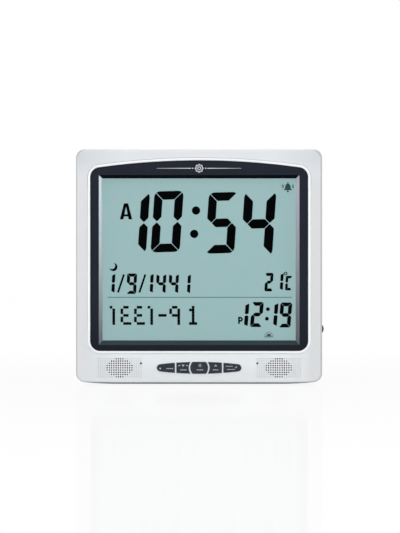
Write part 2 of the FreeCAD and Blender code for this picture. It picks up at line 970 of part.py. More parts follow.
def rear_shell():
    body = doc.addObject("PartDesign::Body", "rear_shell")
    block = padded(body, "rear_block", (parting, back_face), lambda s: draw_case(s, zero))
    round_edges(body, "rear_round", block, back_face, size.rear_edge_round)
    cavity = (parting - PAST, back_inside)
    pocketed(body, "rear_cavity", cavity, lambda s: draw_case(s, size.side_wall))
    recess_back = leg_recess - size.rear_wall
    padded(
        body,
        "leg_box",
        (recess_back, back_inside),
        lambda s: draw_rectangle(s, *recess_spans(size.leg_pin_length + size.rear_wall)),
    )
    padded(
        body,
        "bay_box",
        (bay_floor - size.bay_wall, back_inside),
        lambda s: draw_rectangle(s, *bay_spans(size.bay_wall)),
    )
    padded(
        body,
        "door_rim",
        (back_inside - size.rear_wall, back_inside),
        lambda s: draw_rectangle(s, *door_spans(size.door_gap + size.bay_wall)),
    )
    padded(body, "posts", (post_end, back_inside), draw_circles(post_places(), size.post_radius))
    pocketed(
        body,
        "leg_recess",
        (leg_recess, back_face + PAST),
        lambda s: draw_rectangle(s, *recess_spans()),
    )
    hollow = (bay_floor, back_face + PAST)
    pocketed(body, "bay", hollow, lambda s: draw_rectangle(s, *bay_spans()))
    pocketed(
        body,
        "door_seat",
        (back_face - size.door_thickness, back_face + PAST),
        lambda s: draw_rectangle(s, *door_spans(size.door_gap)),
    )
    well = draw_circles(post_places(), size.screw_head_radius + size.screw_well_gap)
    pocketed(body, "screw_wells", (post_seat, back_face + PAST), well)
    hole = draw_circles(post_places(), size.screw_radius + size.screw_hole_gap)
    pocketed(body, "screw_holes", (post_end - PAST, post_seat + PAST), hole)
    pocketed(body, "hanger", (back_inside - PAST, back_face + PAST), draw_keyhole)
    return body


def sound_slot_tools():
    tools = []
    for side in (-1, 1):
        across = both_ways_from(side * speaker_across, size.slot_length / 2)
        for index in range(SOUND_SLOTS):
            level = size.key_height + (index - SOUND_SLOTS // 2) * size.slot_spacing
            rise = both_ways_from(level, size.slot_height / 2)
            depth = (back_inside - PAST, back_face + PAST)
            tools.append(box(f"sound_slot_{side}_{index}", across, depth, rise))
    return tools


def both_ways_from(centre, half):
    return centre - half, centre + half


def tab_places():
    return [both_ways_from(side * size.tab_spacing / 2, size.tab_width / 2) for side in (-1, 1)]


def tab_levels():
    """Depths of the door tabs' toes: just inside the rear wall."""
    toe_back = back_inside - size.tab_gap
    return toe_back - size.tab_thickness, toe_back


def tab_slot_tools():
    """Room in the bay's edge for the tabs, and for their toes as the door swings out."""
    door_low = door_spans()[1][0]
    bay_low = bay_spans()[1][0]
    front = tab_levels()[0] - size.tab_gap
    tools = []
    for index, (left, right) in enumerate(tab_places()):
        across = (left - size.tab_gap, right + size.tab_gap)
        toe_rise = (door_low - size.tab_reach - size.tab_gap, bay_low + PAST)
        tools.append(box(f"toe_slot_{index}", across, (front, back_inside), toe_rise))
        throat_depth = (front, back_face - size.door_thickness + PAST)
        throat_rise = (door_low - size.door_gap, bay_low + PAST)
        tools.append(box(f"tab_throat_{index}", across, throat_depth, throat_rise))
    return tools


def tag_boxes(name, grow):
    """The two solder tags of the cells' end contacts, through the sides of the bay."""
    inner = bay_spans()[0][1]
    reach = (inner - size.contact_thickness - grow, inner + size.bay_wall + size.tag_reach + grow)
    depth = both_ways_from(cell_centre, size.tag_width / 2 + grow)
    boxes = []
    for side, z in ((1, cell_heights()[0]), (-1, cell_heights()[-1])):
        across = reach if side > 0 else (-reach[1], -reach[0])
        rise = both_ways_from(z, size.contact_thickness / 2 + grow)
        boxes.append(box(f"{name}_{side}", across, depth, rise))
    return boxes


def cell_heights():
    middle = (CELLS - 1) / 2
    return [size.bay_height + (index - middle) * size.cell_spacing for index in range(CELLS)]


def make_rear_case():
    body = rear_shell()
    pin = size.leg_pin_radius + size.leg_pin_gap
    end = size.leg_width / 2 + size.leg_pin_length + size.leg_gap
    hinge = bar("hinge_drill", knuckle_centre, size.leg_hinge, pin, both_ways(end))
    tags = tag_boxes("tag_slot", size.tag_gap)
    tools = [hinge, *sound_slot_tools(), *tab_slot_tools(), *tags]
    keep_node("rear_case", cut("rear_case", body, *tools))


# ---- display


def make_bezel():
    """The dark frame: a thin plate with a crowned top, and a window whose sides slope back to the
    display. Stakes through the front wall hold it."""
    body = doc.addObject("PartDesign::Body", "bezel_body")
    padded(body, "bezel_plate", (bezel_front, bezel_seat), lambda s: draw_bezel(s, zero))
    padded(
        body,
        "frame_tube",
        (bezel_seat, frame_back),
        lambda s: draw_rectangle(s, *mouth_spans(size.frame_wall)),
    )
    mouth = new_sketch(body, "mouth_sketch", bezel_front)
    draw_rectangle(mouth, *mouth_spans())
    view = new_sketch(body, "view_sketch", frame_back)
    draw_rectangle(view, *view_spans())
    slopes = body.newObject("PartDesign::SubtractiveLoft", "window_slopes")
    slopes.Profile = mouth
    slopes.Sections = [view]
    slopes.Ruled = True
    padded(body, "stakes", (bezel_seat, front_inside), draw_circles(stake_places(), size.stake_radius))
    padded(
        body,
        "stake_heads",
        (front_inside, front_inside + size.stake_head_depth),
        draw_circles(stake_places(), size.stake_head_radius),
    )
    keep_node("display_bezel", body)


def make_display_glass():
    across, (low, high) = glass_spans()
    film_across, (film_low, film_high) = glass_spans(size.film_margin - size.glass_margin)
    rear_low = low + size.contact_ledge
    film_rear_low = rear_low + size.film_thickness
    layers = (
        ("lcd_front_polariser", film_across, (frame_back, front_glass_face), film_low),
        ("lcd_front_glass", across, (front_glass_face, rear_glass_face), low),
        ("lcd_rear_glass", across, (rear_glass_face, reflector_face), rear_low),
        ("lcd_reflector", film_across, (reflector_face, holder_face), film_rear_low),
    )
    for name, span, depth, bottom in layers:
        top = high if span is across else film_high
        keep_node(name, box(name, span, depth, (bottom, top)))


def zebra_spans(grow=0):
    low = glass_low + (size.contact_ledge - size.zebra_height) / 2
    across = both_ways(view_half - size.zebra_inset + grow)
    return across, (low - grow, low + size.zebra_height + grow)


def make_lcd_holder():
    """A tray behind the display, with a rim round the glass and four ears for its screws."""
    body = doc.addObject("PartDesign::Body", "holder_body")
    outline = glass_spans(size.holder_gap + size.holder_rim)
    tray = (front_glass_face, board_face)
    padded(body, "tray", tray, lambda s: draw_rectangle(s, *outline))

    def draw_ears(sketch):
        for side, level in ear_sides():
            rise = both_ways_from(level, size.ear_width / 2)
            span = sorted_span(side * (holder_half - PAST), side * (ear_screw + size.ear_end))
            draw_rectangle(sketch, span, rise)

    padded(body, "ears", (holder_face, board_face), draw_ears)
    pocketed(
        body,
        "glass_seat",
        (front_glass_face - PAST, holder_face),
        lambda s: draw_rectangle(s, *glass_spans(size.holder_gap)),
    )
    through = (holder_face - PAST, board_face + PAST)
    slot = zebra_spans(size.zebra_gap)
    pocketed(body, "zebra_slot", through, lambda s: draw_rectangle(s, *slot))
    hole = size.small_screw_radius + size.screw_hole_gap
    pocketed(body, "ear_holes", through, draw_circles(ear_places(), hole))
    thread = size.small_screw_radius + size.thread_gap
    pocketed(body, "board_threads", through, draw_circles(board_screw_places(), thread))
    keep_node("lcd_holder", body)


def make_zebra_strip():
    across, rise = zebra_spans()
    keep_node("zebra_strip", box("zebra_strip", across, (rear_glass_face, board_face), rise))


# ---- circuit boards


def make_main_board():
    tongue_rise = both_ways_from(size.wheel_height, size.tongue_width / 2)
    tongue_end = wheel_centre + size.spindle_radius - size.pot_length / 2
    depth = (board_face, board_back)
    board = fused(
        "board_blank",
        box("board_sheet", both_ways(board_half), depth, (board_low, board_high)),
        box("board_tongue", (board_half - PAST, tongue_end), depth, tongue_rise),
    )
    keep_node("main_board", drilled("main_board", board, board_screw_places(), depth))


def drilled(name, board, places, span):
    """A board with a clear hole for a small screw at each place."""
    hole = size.small_screw_radius + size.screw_hole_gap
    depth = (span[0] - PAST, span[1] + PAST)
    drills = [rod(f"{name}_drill_{index}", x, z, hole, depth) for index, (x, z) in enumerate(places)]
    return cut(name, board, *drills)


def make_chips():
    """A glob over the bare controller, two packaged chips, three capacitors and a crystal."""
    glob_z = board_low + size.blob_rise
    whole = (board_back, board_back + size.blob_height)
    half = (board_back, board_back + size.blob_height / 2)
    top = rod("glob_top", 0, glob_z, size.blob_top_radius, whole)
    skirt = rod("glob_skirt", 0, glob_z, size.blob_radius, half, tip=size.blob_top_radius)
    keep_node("controller_glob", fused("controller_glob", top, skirt))
    for name, x, rise, width, length in (
        (
            "sound_chip",
            -size.sound_chip_across,
            size.sound_chip_rise,
            size.sound_chip_width,
            size.sound_chip_length,
        ),
        (
            "amplifier_chip",
            size.amplifier_across,
            size.amplifier_rise,
            size.amplifier_width,
            size.amplifier_length,
        ),
    ):
        keep_node(name, packaged_chip(name, x, board_low + rise, width, length))
    make_capacitors()
    make_crystal(glob_z)


def packaged_chip(name, x, z, width, length):
    """A chip's body and the two rows of legs that stand on the board."""
    top = board_back + size.chip_height
    across = both_ways_from(x, width / 2)
    body = box(name + "_body", across, (board_back + size.chip_lift, top), both_ways_from(z, length / 2))
    depth = (board_back, board_back + size.chip_height / 2)
    pitch = size.chip_leg_pitch
    count = int(length.number / pitch.number)
    legs = []
    for side in (-1, 1):
        foot = sorted_span(x + side * width / 2, x + side * (width / 2 + size.chip_leg_reach))
        for index in range(count):
            rise = both_ways_from(z + (index - (count - 1) / 2) * pitch, size.chip_leg_width / 2)
            legs.append(box(f"{name}_leg_{side}_{index}", foot, depth, rise))
    return fused(name, body, *legs)


def make_capacitors():
    """Two capacitors one above the other, and one nearer the middle of the board."""
    low = board_low + size.capacitor_rise
    depth = (board_back, board_back + size.capacitor_height)
    places = (
        (size.capacitor_across, low),
        (size.capacitor_across, low + size.capacitor_spacing),
        (size.inner_capacitor_across, low),
    )
    cans = [
        rod(f"capacitor_{index}", x, z, size.capacitor_radius, depth)
        for index, (x, z) in enumerate(places)
    ]
    keep_node("capacitors", grouped("capacitors", cans))


def make_crystal(level):
    """A flat can with round ends, level with the controller."""
    depth = (board_back, board_back + size.crystal_height)
    half = (size.crystal_length - size.crystal_width) / 2
    centre = -size.crystal_across
    radius = size.crystal_width / 2
    can = box("crystal_can", both_ways_from(centre, half), depth, both_ways_from(level, radius))
    ends = [
        rod(f"crystal_end_{index}", centre + side * half, level, radius, depth)
        for index, side in enumerate((-1, 1))
    ]
    keep_node("quartz_crystal", fused("quartz_crystal", can, *ends))


def make_key_board():
    rise = both_ways_from(size.key_height, size.key_board_tall / 2)
    depth = (key_board_face, key_board_back)
    board = box("key_sheet", both_ways(key_board_half), depth, rise)
    keep_node("key_board", drilled("key_board", board, key_board_screw_places(), depth))


def make_key_membrane():
    """A rubber sheet with one sprung dome behind each key."""
    rise = both_ways_from(size.key_height, size.membrane_tall / 2)
    pad_box = box(
        "membrane_sheet", both_ways(size.membrane_width / 2), (membrane_face, key_board_face), rise
    )
    domes = [
        rod(
            f"dome_{index}",
            x,
            size.key_height,
            size.dome_top,
            (key_lip_back, membrane_face),
            tip=size.dome_foot,
        )
        for index, x in enumerate(dome_places())
    ]
    keep_node("key_membrane", fused("key_membrane", pad_box, *domes))


def dome_places():
    return (-size.outer_dome, -size.inner_dome, zero, size.inner_dome, size.outer_dome)


def vent_place():
    step = (GRILLE_COLUMNS - 1) / 2
    rise = (len(GRILLE_ROWS) // 2 - VENT_ROW) * size.hole_pitch
    return size.hole_pitch * step - speaker_across, size.key_height + rise


def make_temperature_sensor():
    """A bead on two legs, right behind the vent hole beside the left speaker."""
    x, z = vent_place()
    bead_back = key_board_face - size.sensor_stand_off
    bead = rod("sensor_bead", x, z, size.sensor_radius, (bead_back - size.sensor_length, bead_back))
    apart = size.sensor_radius / 2
    depth = (bead_back, key_board_face)
    legs = [
        rod(f"sensor_leg_{index}", x + side * apart, z, size.sensor_leg_radius, depth)
        for index, side in enumerate((-1, 1))
    ]
    keep_node("temperature_sensor", fused("temperature_sensor", bead, *legs))


# ---- speakers


def turned(name, x, profile):
    """A solid of revolution about an axis along Y through the speaker's centre. The profile is a
    closed row of (radius, depth) corners."""
    sketch = doc.addObject("Sketcher::SketchObject", name + "_sketch")
    bind(sketch, "Placement.Base.z", size.key_height)
    bind(sketch, "Placement.Base.x", x)
    draw_loop(sketch, [(radius, depth, None) for radius, depth in profile])
    made = doc.addObject("Part::Revolution", name)
    made.Source = sketch
    made.Axis = FreeCAD.Vector(0, 1, 0)
    made.Angle = 360
    made.Solid = True
    bind(made, "Base.x", x)
    bind(made, "Base.z", size.key_height)
    return made


def speaker_levels():
    """Depths of a speaker's face, the back of its basket and the back of its magnet."""
    face = front_inside + size.gasket_thickness
    back = face + size.speaker_depth
    return face, back - size.magnet_depth, back


def make_speaker(side_name, side):
    """A pressed basket that narrows to its magnet, and a cone whose rim lies on a ledge in it."""
    x = side * speaker_across
    outer, mouth, neck = size.speaker_radius, size.speaker_mouth, size.speaker_neck
    sheet_metal = size.flange_thickness
    thin = size.cone_thickness
    face, basket_back, back = speaker_levels()
    basket = [
        (mouth, face),
        (outer, face),
        (outer, face + sheet_metal),
        (outer - sheet_metal, face + sheet_metal),
        (neck + sheet_metal, basket_back),
        (neck - sheet_metal, basket_back),
        (neck - sheet_metal, basket_back - sheet_metal),
        (neck, basket_back - sheet_metal),
        (mouth - size.speaker_ledge, face + thin),
        (mouth, face + thin),
    ]
    keep_node(f"{side_name}_speaker_basket", turned(f"{side_name}_basket", x, basket))
    hub = face + size.cone_depth
    fold = mouth - size.cone_rim
    cone = [
        (zero, hub - thin),
        (size.dust_cap_radius, hub - thin),
        (fold, face),
        (mouth, face),
        (mouth, face + thin),
        (fold, face + thin),
        (size.dust_cap_radius, hub),
        (zero, hub),
    ]
    keep_node(f"{side_name}_speaker_cone", turned(f"{side_name}_cone", x, cone))
    depth = (basket_back, back)
    magnet = rod(f"{side_name}_magnet", x, size.key_height, size.magnet_radius, depth)
    keep_node(f"{side_name}_speaker_magnet", magnet)


def make_speaker_gaskets():
    rings = []
    for side in (-1, 1):
        x = side * speaker_across
        depth = (front_inside, front_inside + size.gasket_thickness)
        ring = rod(f"gasket_disc_{side}", x, size.key_height, size.speaker_radius, depth)
        through = (front_inside - PAST, front_inside + PAST)
        hole = rod(f"gasket_hole_{side}", x, size.key_height, size.speaker_mouth, through)
        rings.append(cut(f"gasket_{side}", ring, hole))
    keep_node("speaker_gaskets", grouped("speaker_gaskets", rings))


# ---- volume control


def make_potentiometer():
    base_end = size.case_width / 2 - size.side_wall - size.wheel_gap
    base = box(
        "pot_base",
        (base_end - size.pot_length, base_end),
        (board_back, board_back + size.pot_thickness),
        both_ways_from(size.wheel_height, size.pot_tall / 2),
    )
    spindle = rod(
        "pot_spindle",
        wheel_centre,
        size.wheel_height,
        size.spindle_radius,
        (board_back, wheel_back + size.wheel_gap / 2),
    )
    keep_node("volume_potentiometer", fused("volume_potentiometer", base, spindle))


def make_volume_wheel():
    """A knurled disc on the spindle, with its edge out through the side of the case."""
    body = doc.addObject("PartDesign::Body", "wheel_body")

    def centred(sketch):
        bind(sketch, "AttachmentOffset.Base.x", wheel_centre)
        bind(sketch, "AttachmentOffset.Base.y", size.wheel_height)

    def draw_disc(sketch):
        centred(sketch)
        draw_circle(sketch, 0, 0, size.wheel_radius)
        draw_circle(sketch, 0, 0, size.spindle_radius + size.spindle_gap)

    def draw_notch(sketch):
        centred(sketch)
        draw_circle(sketch, 0, size.wheel_radius + size.knurl_radius / 2, size.knurl_radius)

    padded(body, "wheel_disc", (wheel_front, wheel_back), draw_disc)
    notch = pocketed(body, "knurl", (wheel_front - PAST, wheel_back + PAST), draw_notch)
    doc.recompute()
    knurls = body.newObject("PartDesign::PolarPattern", "knurls")
    knurls.Originals = [notch]
    knurls.Axis = (notch.Profile[0], ["N_Axis"])
    knurls.Angle = 360
    bind(knurls, "Occurrences", size.knurl_count)
    body.Tip = knurls
    keep_node("volume_wheel", body)


# ---- cells and their door


def cell_side(index):
    """The way that a cell's positive end points: right, left, right."""
    return -1 if index == 1 else 1


def make_batteries():
    wall = bay_spans()[0][1]
    nub_end = wall - size.contact_thickness
    body_end = nub_end - size.cell_nub_length
    cells = []
    for index, z in enumerate(cell_heights()):
        side = cell_side(index)
        body_span = sorted_span(side * body_end, side * (body_end - size.cell_length))
        nub_span = sorted_span(side * body_end, side * nub_end)
        body = bar(f"cell_body_{index}", cell_centre, z, size.cell_radius, body_span)
        nub = bar(f"cell_nub_{index}", cell_centre, z, size.cell_nub_radius, nub_span)
        cells.append(fused(f"cell_{index}", body, nub))
    keep_node("batteries", grouped("batteries", cells))


def sorted_span(first, second):
    return (first, second) if first.number < second.number else (second, first)


def make_battery_springs():
    """Coils that press on the cells' flat ends, each bent from short straight runs of wire."""
    wall = (bay_spans()[0][1] - size.contact_thickness).number
    flat_end = (size.cell_length + size.cell_nub_length).number - wall
    wire, radius = size.coil_wire.number, size.coil_radius.number
    length = wall - flat_end - 2 * wire
    runs = round(length / size.coil_pitch.number * COIL_SIDES)
    coils = []
    for index, z in enumerate(cell_heights()):
        side = cell_side(index)
        points = []
        for step in range(runs + 1):
            turn = 2 * math.pi * step / COIL_SIDES
            x = side * (wire - wall + length * step / runs)
            across = FreeCAD.Vector(x, math.cos(turn) * radius, math.sin(turn) * radius)
            points.append(across + FreeCAD.Vector(0, cell_centre.number, z.number))
        ring = Part.Wire(Part.makeCircle(wire, points[0], points[1] - points[0]))
        coils.append(Part.makePolygon(points).makePipeShell([ring], True, False, MITRED))
    springs = doc.addObject("Part::Feature", "battery_springs")
    springs.Shape = Part.makeCompound(coils)
    keep_node("battery_springs", springs)


def make_battery_contacts():
    """Sheet-metal plates at both ends of the bay: two that link neighbouring cells, and two end
    plates with solder tags."""
    wall = bay_spans()[0][1]
    heights = cell_heights()
    half = size.contact_size / 2
    depth = both_ways_from(cell_centre, half)
    tags = tag_boxes("tag", zero)
    plates = []
    for side, single, tag in ((1, 0, tags[0]), (-1, CELLS - 1, tags[1])):
        linked = [z for index, z in enumerate(heights) if index != single]
        across = sorted_span(side * (wall - size.contact_thickness), side * wall)
        end_rise = both_ways_from(heights[single], half)
        end_plate = box(f"end_plate_{side}", across, depth, end_rise)
        plates.append(fused(f"tagged_plate_{side}", end_plate, tag))
        link_rise = (linked[0] - half, linked[1] + half)
        plates.append(box(f"link_plate_{side}", across, depth, link_rise))
    keep_node("battery_contacts", grouped("battery_contacts", plates))


def make_battery_door():
    """The cover over the cells: two tabs under its lower edge, and a latch tongue at the top."""
    across, (low, high) = door_spans()
    bay_high = bay_spans()[1][1]
    inner = back_face - size.door_thickness
    toe_front, toe_back = tab_levels()
    stem_low = low + size.door_gap
    stem_high = stem_low + size.tab_thickness
    pieces = [box("door_plate", across, (inner, back_face), (low, high))]
    for index, span in enumerate(tab_places()):
        pieces.append(box(f"tab_stem_{index}", span, (toe_front, inner), (stem_low, stem_high)))
        toe_rise = (low - size.tab_reach, stem_high)
        pieces.append(box(f"tab_toe_{index}", span, (toe_front, toe_back), toe_rise))
    tongue_high = bay_high - size.latch_gap
    tongue_rise = (tongue_high - size.tab_thickness, tongue_high)
    tongue_depth = (inner - size.latch_depth, inner)
    pieces.append(box("latch_tongue", both_ways(size.latch_width / 2), tongue_depth, tongue_rise))
    whole = fused("door_blank", *pieces)
    grip_rise = (high - 2 * size.grip_tall, high - size.grip_tall)
    grip_depth = (back_face - size.grip_depth, back_face + PAST)
    grip = box("door_grip", both_ways(size.latch_width / 2), grip_depth, grip_rise)
    keep_node("battery_door", cut("battery_door", whole, grip))


# ---- fold-out leg


def make_desk_stand():
    """A leg as wide as a hand, folded into the back. It hinges on two pins at its top, and a
    finger gets behind its foot through a notch."""
    body = doc.addObject("PartDesign::Body", "leg_body")
    half = size.leg_width / 2
    corner = size.leg_corner
    foot, top = size.leg_foot, size.leg_hinge
    notch, notch_top = size.notch_width / 2, size.leg_foot + size.notch_rise

    def draw_plate(sketch):
        draw_loop(
            sketch,
            [
                (corner - half, foot, None),
                (-notch, foot, None),
                (-notch, notch_top, None),
                (notch, notch_top, None),
                (notch, foot, None),
                (half - corner, foot, (corner, half - corner, foot + corner, True)),
                (half, foot + corner, None),
                (half, top, None),
                (-half, top, None),
                (-half, foot + corner, (corner, corner - half, foot + corner, True)),
            ],
        )

    padded(body, "leg_plate", (leg_front, leg_back), draw_plate)

    def draw_ribs(sketch):
        for side in (-1, 1):
            across = both_ways_from(side * (half - corner), size.rib_thickness / 2)
            draw_rectangle(sketch, across, (foot + corner, top))

    padded(body, "leg_ribs", (knuckle_centre - size.knuckle_radius, leg_front), draw_ribs)
    knuckle = bar("knuckle", knuckle_centre, top, size.knuckle_radius, both_ways(half))
    pins = bar(
        "leg_pins", knuckle_centre, top, size.leg_pin_radius, both_ways(half + size.leg_pin_length)
    )
    keep_node("desk_stand", fused("desk_stand", body, knuckle, pins))


# ---- screws


def screw(name, x, z, seat, end, shank, head_radius, head_depth):
    """A cross-headed screw whose head sits at one depth and whose point reaches forward."""
    head_back = seat + head_depth
    whole = fused(
        name + "_blank",
        rod(name + "_shank", x, z, shank, (end, seat)),
        rod(name + "_head", x, z, head_radius, (seat, head_back)),
    )
    depth = (head_back - head_depth / 2, head_back + PAST)
    arm, blade = head_radius * CROSS_ARM, head_radius * CROSS_BLADE
    cross = [
        box(name + "_slot_a", both_ways_from(x, arm), depth, both_ways_from(z, blade)),
        box(name + "_slot_b", both_ways_from(x, blade), depth, both_ways_from(z, arm)),
    ]
    return cut(name, whole, fused(name + "_cross", *cross))


def make_screws():
    small_end = front_inside - size.small_screw_bite
    tray_end = holder_face + size.film_thickness
    flange_back = front_inside + size.gasket_thickness + size.flange_thickness
    large = (size.screw_radius, size.screw_head_radius, size.screw_head_depth)
    small = (size.small_screw_radius, size.small_head_radius, size.small_head_depth)
    washer = (size.small_screw_radius, size.washer_head_radius, size.small_head_depth)
    speaker_places = speaker_screw_places(-1) + speaker_screw_places(1)
    for label, places, seat, end, form in (
        ("case_screws", post_places(), post_seat, post_seat - size.screw_length, large),
        ("display_screws", ear_places(), board_face, small_end, small),
        ("board_screws", board_screw_places(), board_back, tray_end, small),
        ("key_board_screws", key_board_screw_places(), key_board_back, small_end, small),
        ("speaker_screws", speaker_places, flange_back, small_end, washer),
    ):
        screws = [
            screw(f"{label}_{index}", x, z, seat, end, *form)
            for index, (x, z) in enumerate(places)
        ]
        keep_node(label, grouped(label, screws))


# ---- wires


def tube(points, radius):
    """A wire along straight runs that are joined by tangent arcs."""
    edges = []
    here = points[0]
    for before, corner, after in zip(points, points[1:], points[2:]):
        into, out = corner - before, after - corner
        turn = into.getAngle(out)
        reach = 0.45 * min(into.Length, out.Length)
        start = corner - into.normalize() * reach
        finish = corner + out.normalize() * reach
        inward = (start + finish) / 2 - corner
        bend = reach / math.tan(turn / 2)
        from_centre = math.hypot(bend, reach) - bend
        middle = corner + inward.normalize() * from_centre
        edges.append(Part.makeLine(here, start))
        edges.append(Part.Arc(start, middle, finish).toShape())
        here = finish
    edges.append(Part.makeLine(here, points[-1]))
    path = Part.Wire(edges)
    ring = Part.Wire(Part.makeCircle(radius, points[0], points[1] - points[0]))
    return path.makePipeShell([ring], True, False)


def speaker_lead_route(side, twin):
    """From the back of a basket, square to its slope, up to the main board and square onto it."""
    face, basket_back, _ = (level.number for level in speaker_levels())
    sheet_metal = size.flange_thickness.number
    wide = (face + sheet_metal, size.speaker_radius.number - sheet_metal)
    narrow = (basket_back, size.speaker_neck.number + sheet_metal)
    root_radius = size.lead_root.number
    fall, shrink = narrow[0] - wide[0], wide[1] - narrow[1]
    slope = math.hypot(fall, shrink)
    root_depth = wide[0] + (wide[1] - root_radius) / shrink * fall
    turn = math.asin(twin * 2 * size.lead_radius.number / root_radius)
    outward = FreeCAD.Vector(math.sin(turn), 0, math.cos(turn))
    centre = FreeCAD.Vector(side * speaker_across.number, root_depth, size.key_height.number)
    start = centre + outward * root_radius
    away = outward * (fall / slope) + FreeCAD.Vector(0, shrink / slope, 0)
    stand = board_back.number + size.lead_arch.number
    spread = size.lead_spread.number
    low = board_low.number
    return [
        start,
        start + away * size.lead_stub.number,
        FreeCAD.Vector(start.x - side * spread / 2, stand, low),
        FreeCAD.Vector(start.x - side * spread, stand, low + size.speaker_lead_rise.number),
        FreeCAD.Vector(start.x - side * spread, board_back.number, low + size.speaker_lead_rise.number),
    ]


def battery_lead_route(side, level):
    """From a contact's tag out beside the bay, forward and down, and square onto the main board."""
    tag_end = (bay_spans()[0][1] + size.bay_wall + size.tag_reach).number
    landing = (board_high - size.battery_lead_drop).number
    reach = tag_end + size.battery_lead_reach.number
    centre = cell_centre.number
    return [
        FreeCAD.Vector(side * tag_end, centre, level),
        FreeCAD.Vector(side * (tag_end + reach) / 2, centre, level),
        FreeCAD.Vector(side * reach, centre - size.battery_lead_bow.number, (level + landing) / 2),
        FreeCAD.Vector(side * reach, board_back.number + size.lead_arch.number, landing),
        FreeCAD.Vector(side * reach, board_back.number, landing),
    ]


def make_leads():
    """Two wires from each speaker up to the main board, and one from each end of the cells."""
    levels = (cell_heights()[0].number, cell_heights()[-1].number)
    speaker_routes = [speaker_lead_route(side, twin) for side in (-1, 1) for twin in (-1, 1)]
    battery_routes = [battery_lead_route(1, levels[0]), battery_lead_route(-1, levels[1])]
    for label, routes in (("speaker_leads", speaker_routes), ("battery_leads", battery_routes)):
        leads = doc.addObject("Part::Feature", label)
        leads.Shape = Part.makeCompound([tube(route, size.lead_radius.number) for route in routes])
        keep_node(label, leads)


# ---- document check and export


def failed(thing):
    return any(word in thing.State for word in ("Invalid", "Error"))


def cuts_nothing(thing):
    if thing.TypeId != "PartDesign::Pocket":
        return False
    return thing.Shape.Volume > thing.BaseFeature.Shape.Volume - 1e-6


def check_and_write():
    doc.recompute()
    broken = [thing.Name for thing in doc.Objects if failed(thing) or cuts_nothing(thing)]
    bad = [made.Label for made in nodes if made.Shape.isNull() or not made.Shape.isValid()]
    if broken or bad:
        raise RuntimeError(f"failed objects {broken}, bad sub-parts {bad}")
    for made in nodes:
        made.Shape.exportStep(f"parts/{made.Label}.step")
        print(made.Label, len(made.Shape.Solids), round(made.Shape.Volume, 1))


make_front_case()
make_rear_case()
make_bezel()
make_display_glass()
make_lcd_holder()
make_zebra_strip()
make_main_board()
make_chips()
make_key_board()
make_key_membrane()
make_keys()
make_temperature_sensor()
make_speaker("left", -1)
make_speaker("right", 1)
make_speaker_gaskets()
make_potentiometer()
make_volume_wheel()
make_batteries()
make_battery_springs()
make_battery_contacts()
make_battery_door()
make_desk_stand()
make_screws()
make_leads()
check_and_write()
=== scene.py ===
import math

import bmesh
import bpy
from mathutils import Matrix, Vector


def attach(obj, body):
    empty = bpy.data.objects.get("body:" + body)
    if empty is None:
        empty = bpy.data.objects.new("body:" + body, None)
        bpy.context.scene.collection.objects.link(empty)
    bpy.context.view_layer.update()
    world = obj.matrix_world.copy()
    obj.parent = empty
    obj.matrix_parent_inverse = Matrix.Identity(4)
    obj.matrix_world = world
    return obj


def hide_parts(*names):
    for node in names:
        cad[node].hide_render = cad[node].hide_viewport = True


# Prayer clock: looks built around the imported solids. Sizes are in millimetres unless a note says otherwise.

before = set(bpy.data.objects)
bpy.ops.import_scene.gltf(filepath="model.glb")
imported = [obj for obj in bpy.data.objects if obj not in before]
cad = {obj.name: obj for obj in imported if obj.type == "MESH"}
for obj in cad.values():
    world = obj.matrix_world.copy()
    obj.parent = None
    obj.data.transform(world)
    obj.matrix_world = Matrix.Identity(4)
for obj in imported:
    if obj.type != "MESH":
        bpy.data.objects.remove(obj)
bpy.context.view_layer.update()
caseBody = "clock_case"
mm = 0.001
mergeReach = 2e-6  # metres: corners nearer than this become one
flatAngle = 0.6  # degrees: faces that bend less than this become one
print("frame loaded:", len(cad), "nodes")

# Small helpers

paint = {}  # every finish by its name


def linked(name, data):
    piece = bpy.data.objects.new(name, data)
    bpy.context.scene.collection.objects.link(piece)
    return piece


def pieceFrom(name, points, faces=()):
    mesh = bpy.data.meshes.new(name)
    mesh.from_pydata(points, [], faces)
    return linked(name, mesh)


# Turns an editable shape into a piece.
def released(shape, name):
    mesh = bpy.data.meshes.new(name)
    shape.to_mesh(mesh)
    shape.free()
    return linked(name, mesh)


def coated(piece, finishes):
    for name in finishes:
        piece.data.materials.append(paint[name])


# Gives a piece its finishes and its body.
def finished(piece, body, slotName, *finishes):
    coated(piece, finishes)
    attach(piece, body)
    return piece


# Gives each face of a piece the finish of its region.
def painted(piece, finishes, regionOf):
    coated(piece, finishes)
    for face in piece.data.polygons:
        face.material_index = finishes.index(regionOf(face))


# Replaces the modifiers of a piece by the mesh that they give.
def settled(piece):
    graph = bpy.context.evaluated_depsgraph_get()
    plain = bpy.data.meshes.new_from_object(piece.evaluated_get(graph))
    piece.modifiers.clear()
    old = piece.data
    piece.data = plain
    bpy.data.meshes.remove(old)
    return piece


# Smooth shading that keeps large faces flat and edges over the angle, in degrees, crisp.
def evenNormals(piece, angle=32):
    for face in piece.data.polygons:
        face.use_smooth = True
    piece.data.set_sharp_from_angle(angle=math.radians(angle))
    weighted = piece.modifiers.new("evenNormals", "WEIGHTED_NORMAL")
    weighted.keep_sharp = True
    weighted.weight = 100
    return settled(piece)


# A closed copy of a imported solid, with shared corners.
def mergedCopy(node, name, flatten=False, move=None):
    source = cad[node].data
    shape = bmesh.new()
    corners = [shape.verts.new(v.co) for v in source.vertices]
    for polygon in source.polygons:
        shape.faces.new([corners[i] for i in polygon.vertices])
    bmesh.ops.remove_doubles(shape, verts=shape.verts, dist=mergeReach)
    if flatten:
        limit = math.radians(flatAngle)
        bmesh.ops.dissolve_limit(shape, angle_limit=limit, verts=shape.verts, edges=shape.edges)
    if move:
        for vert in shape.verts:
            vert.co = move(vert.co)
    return released(shape, name)


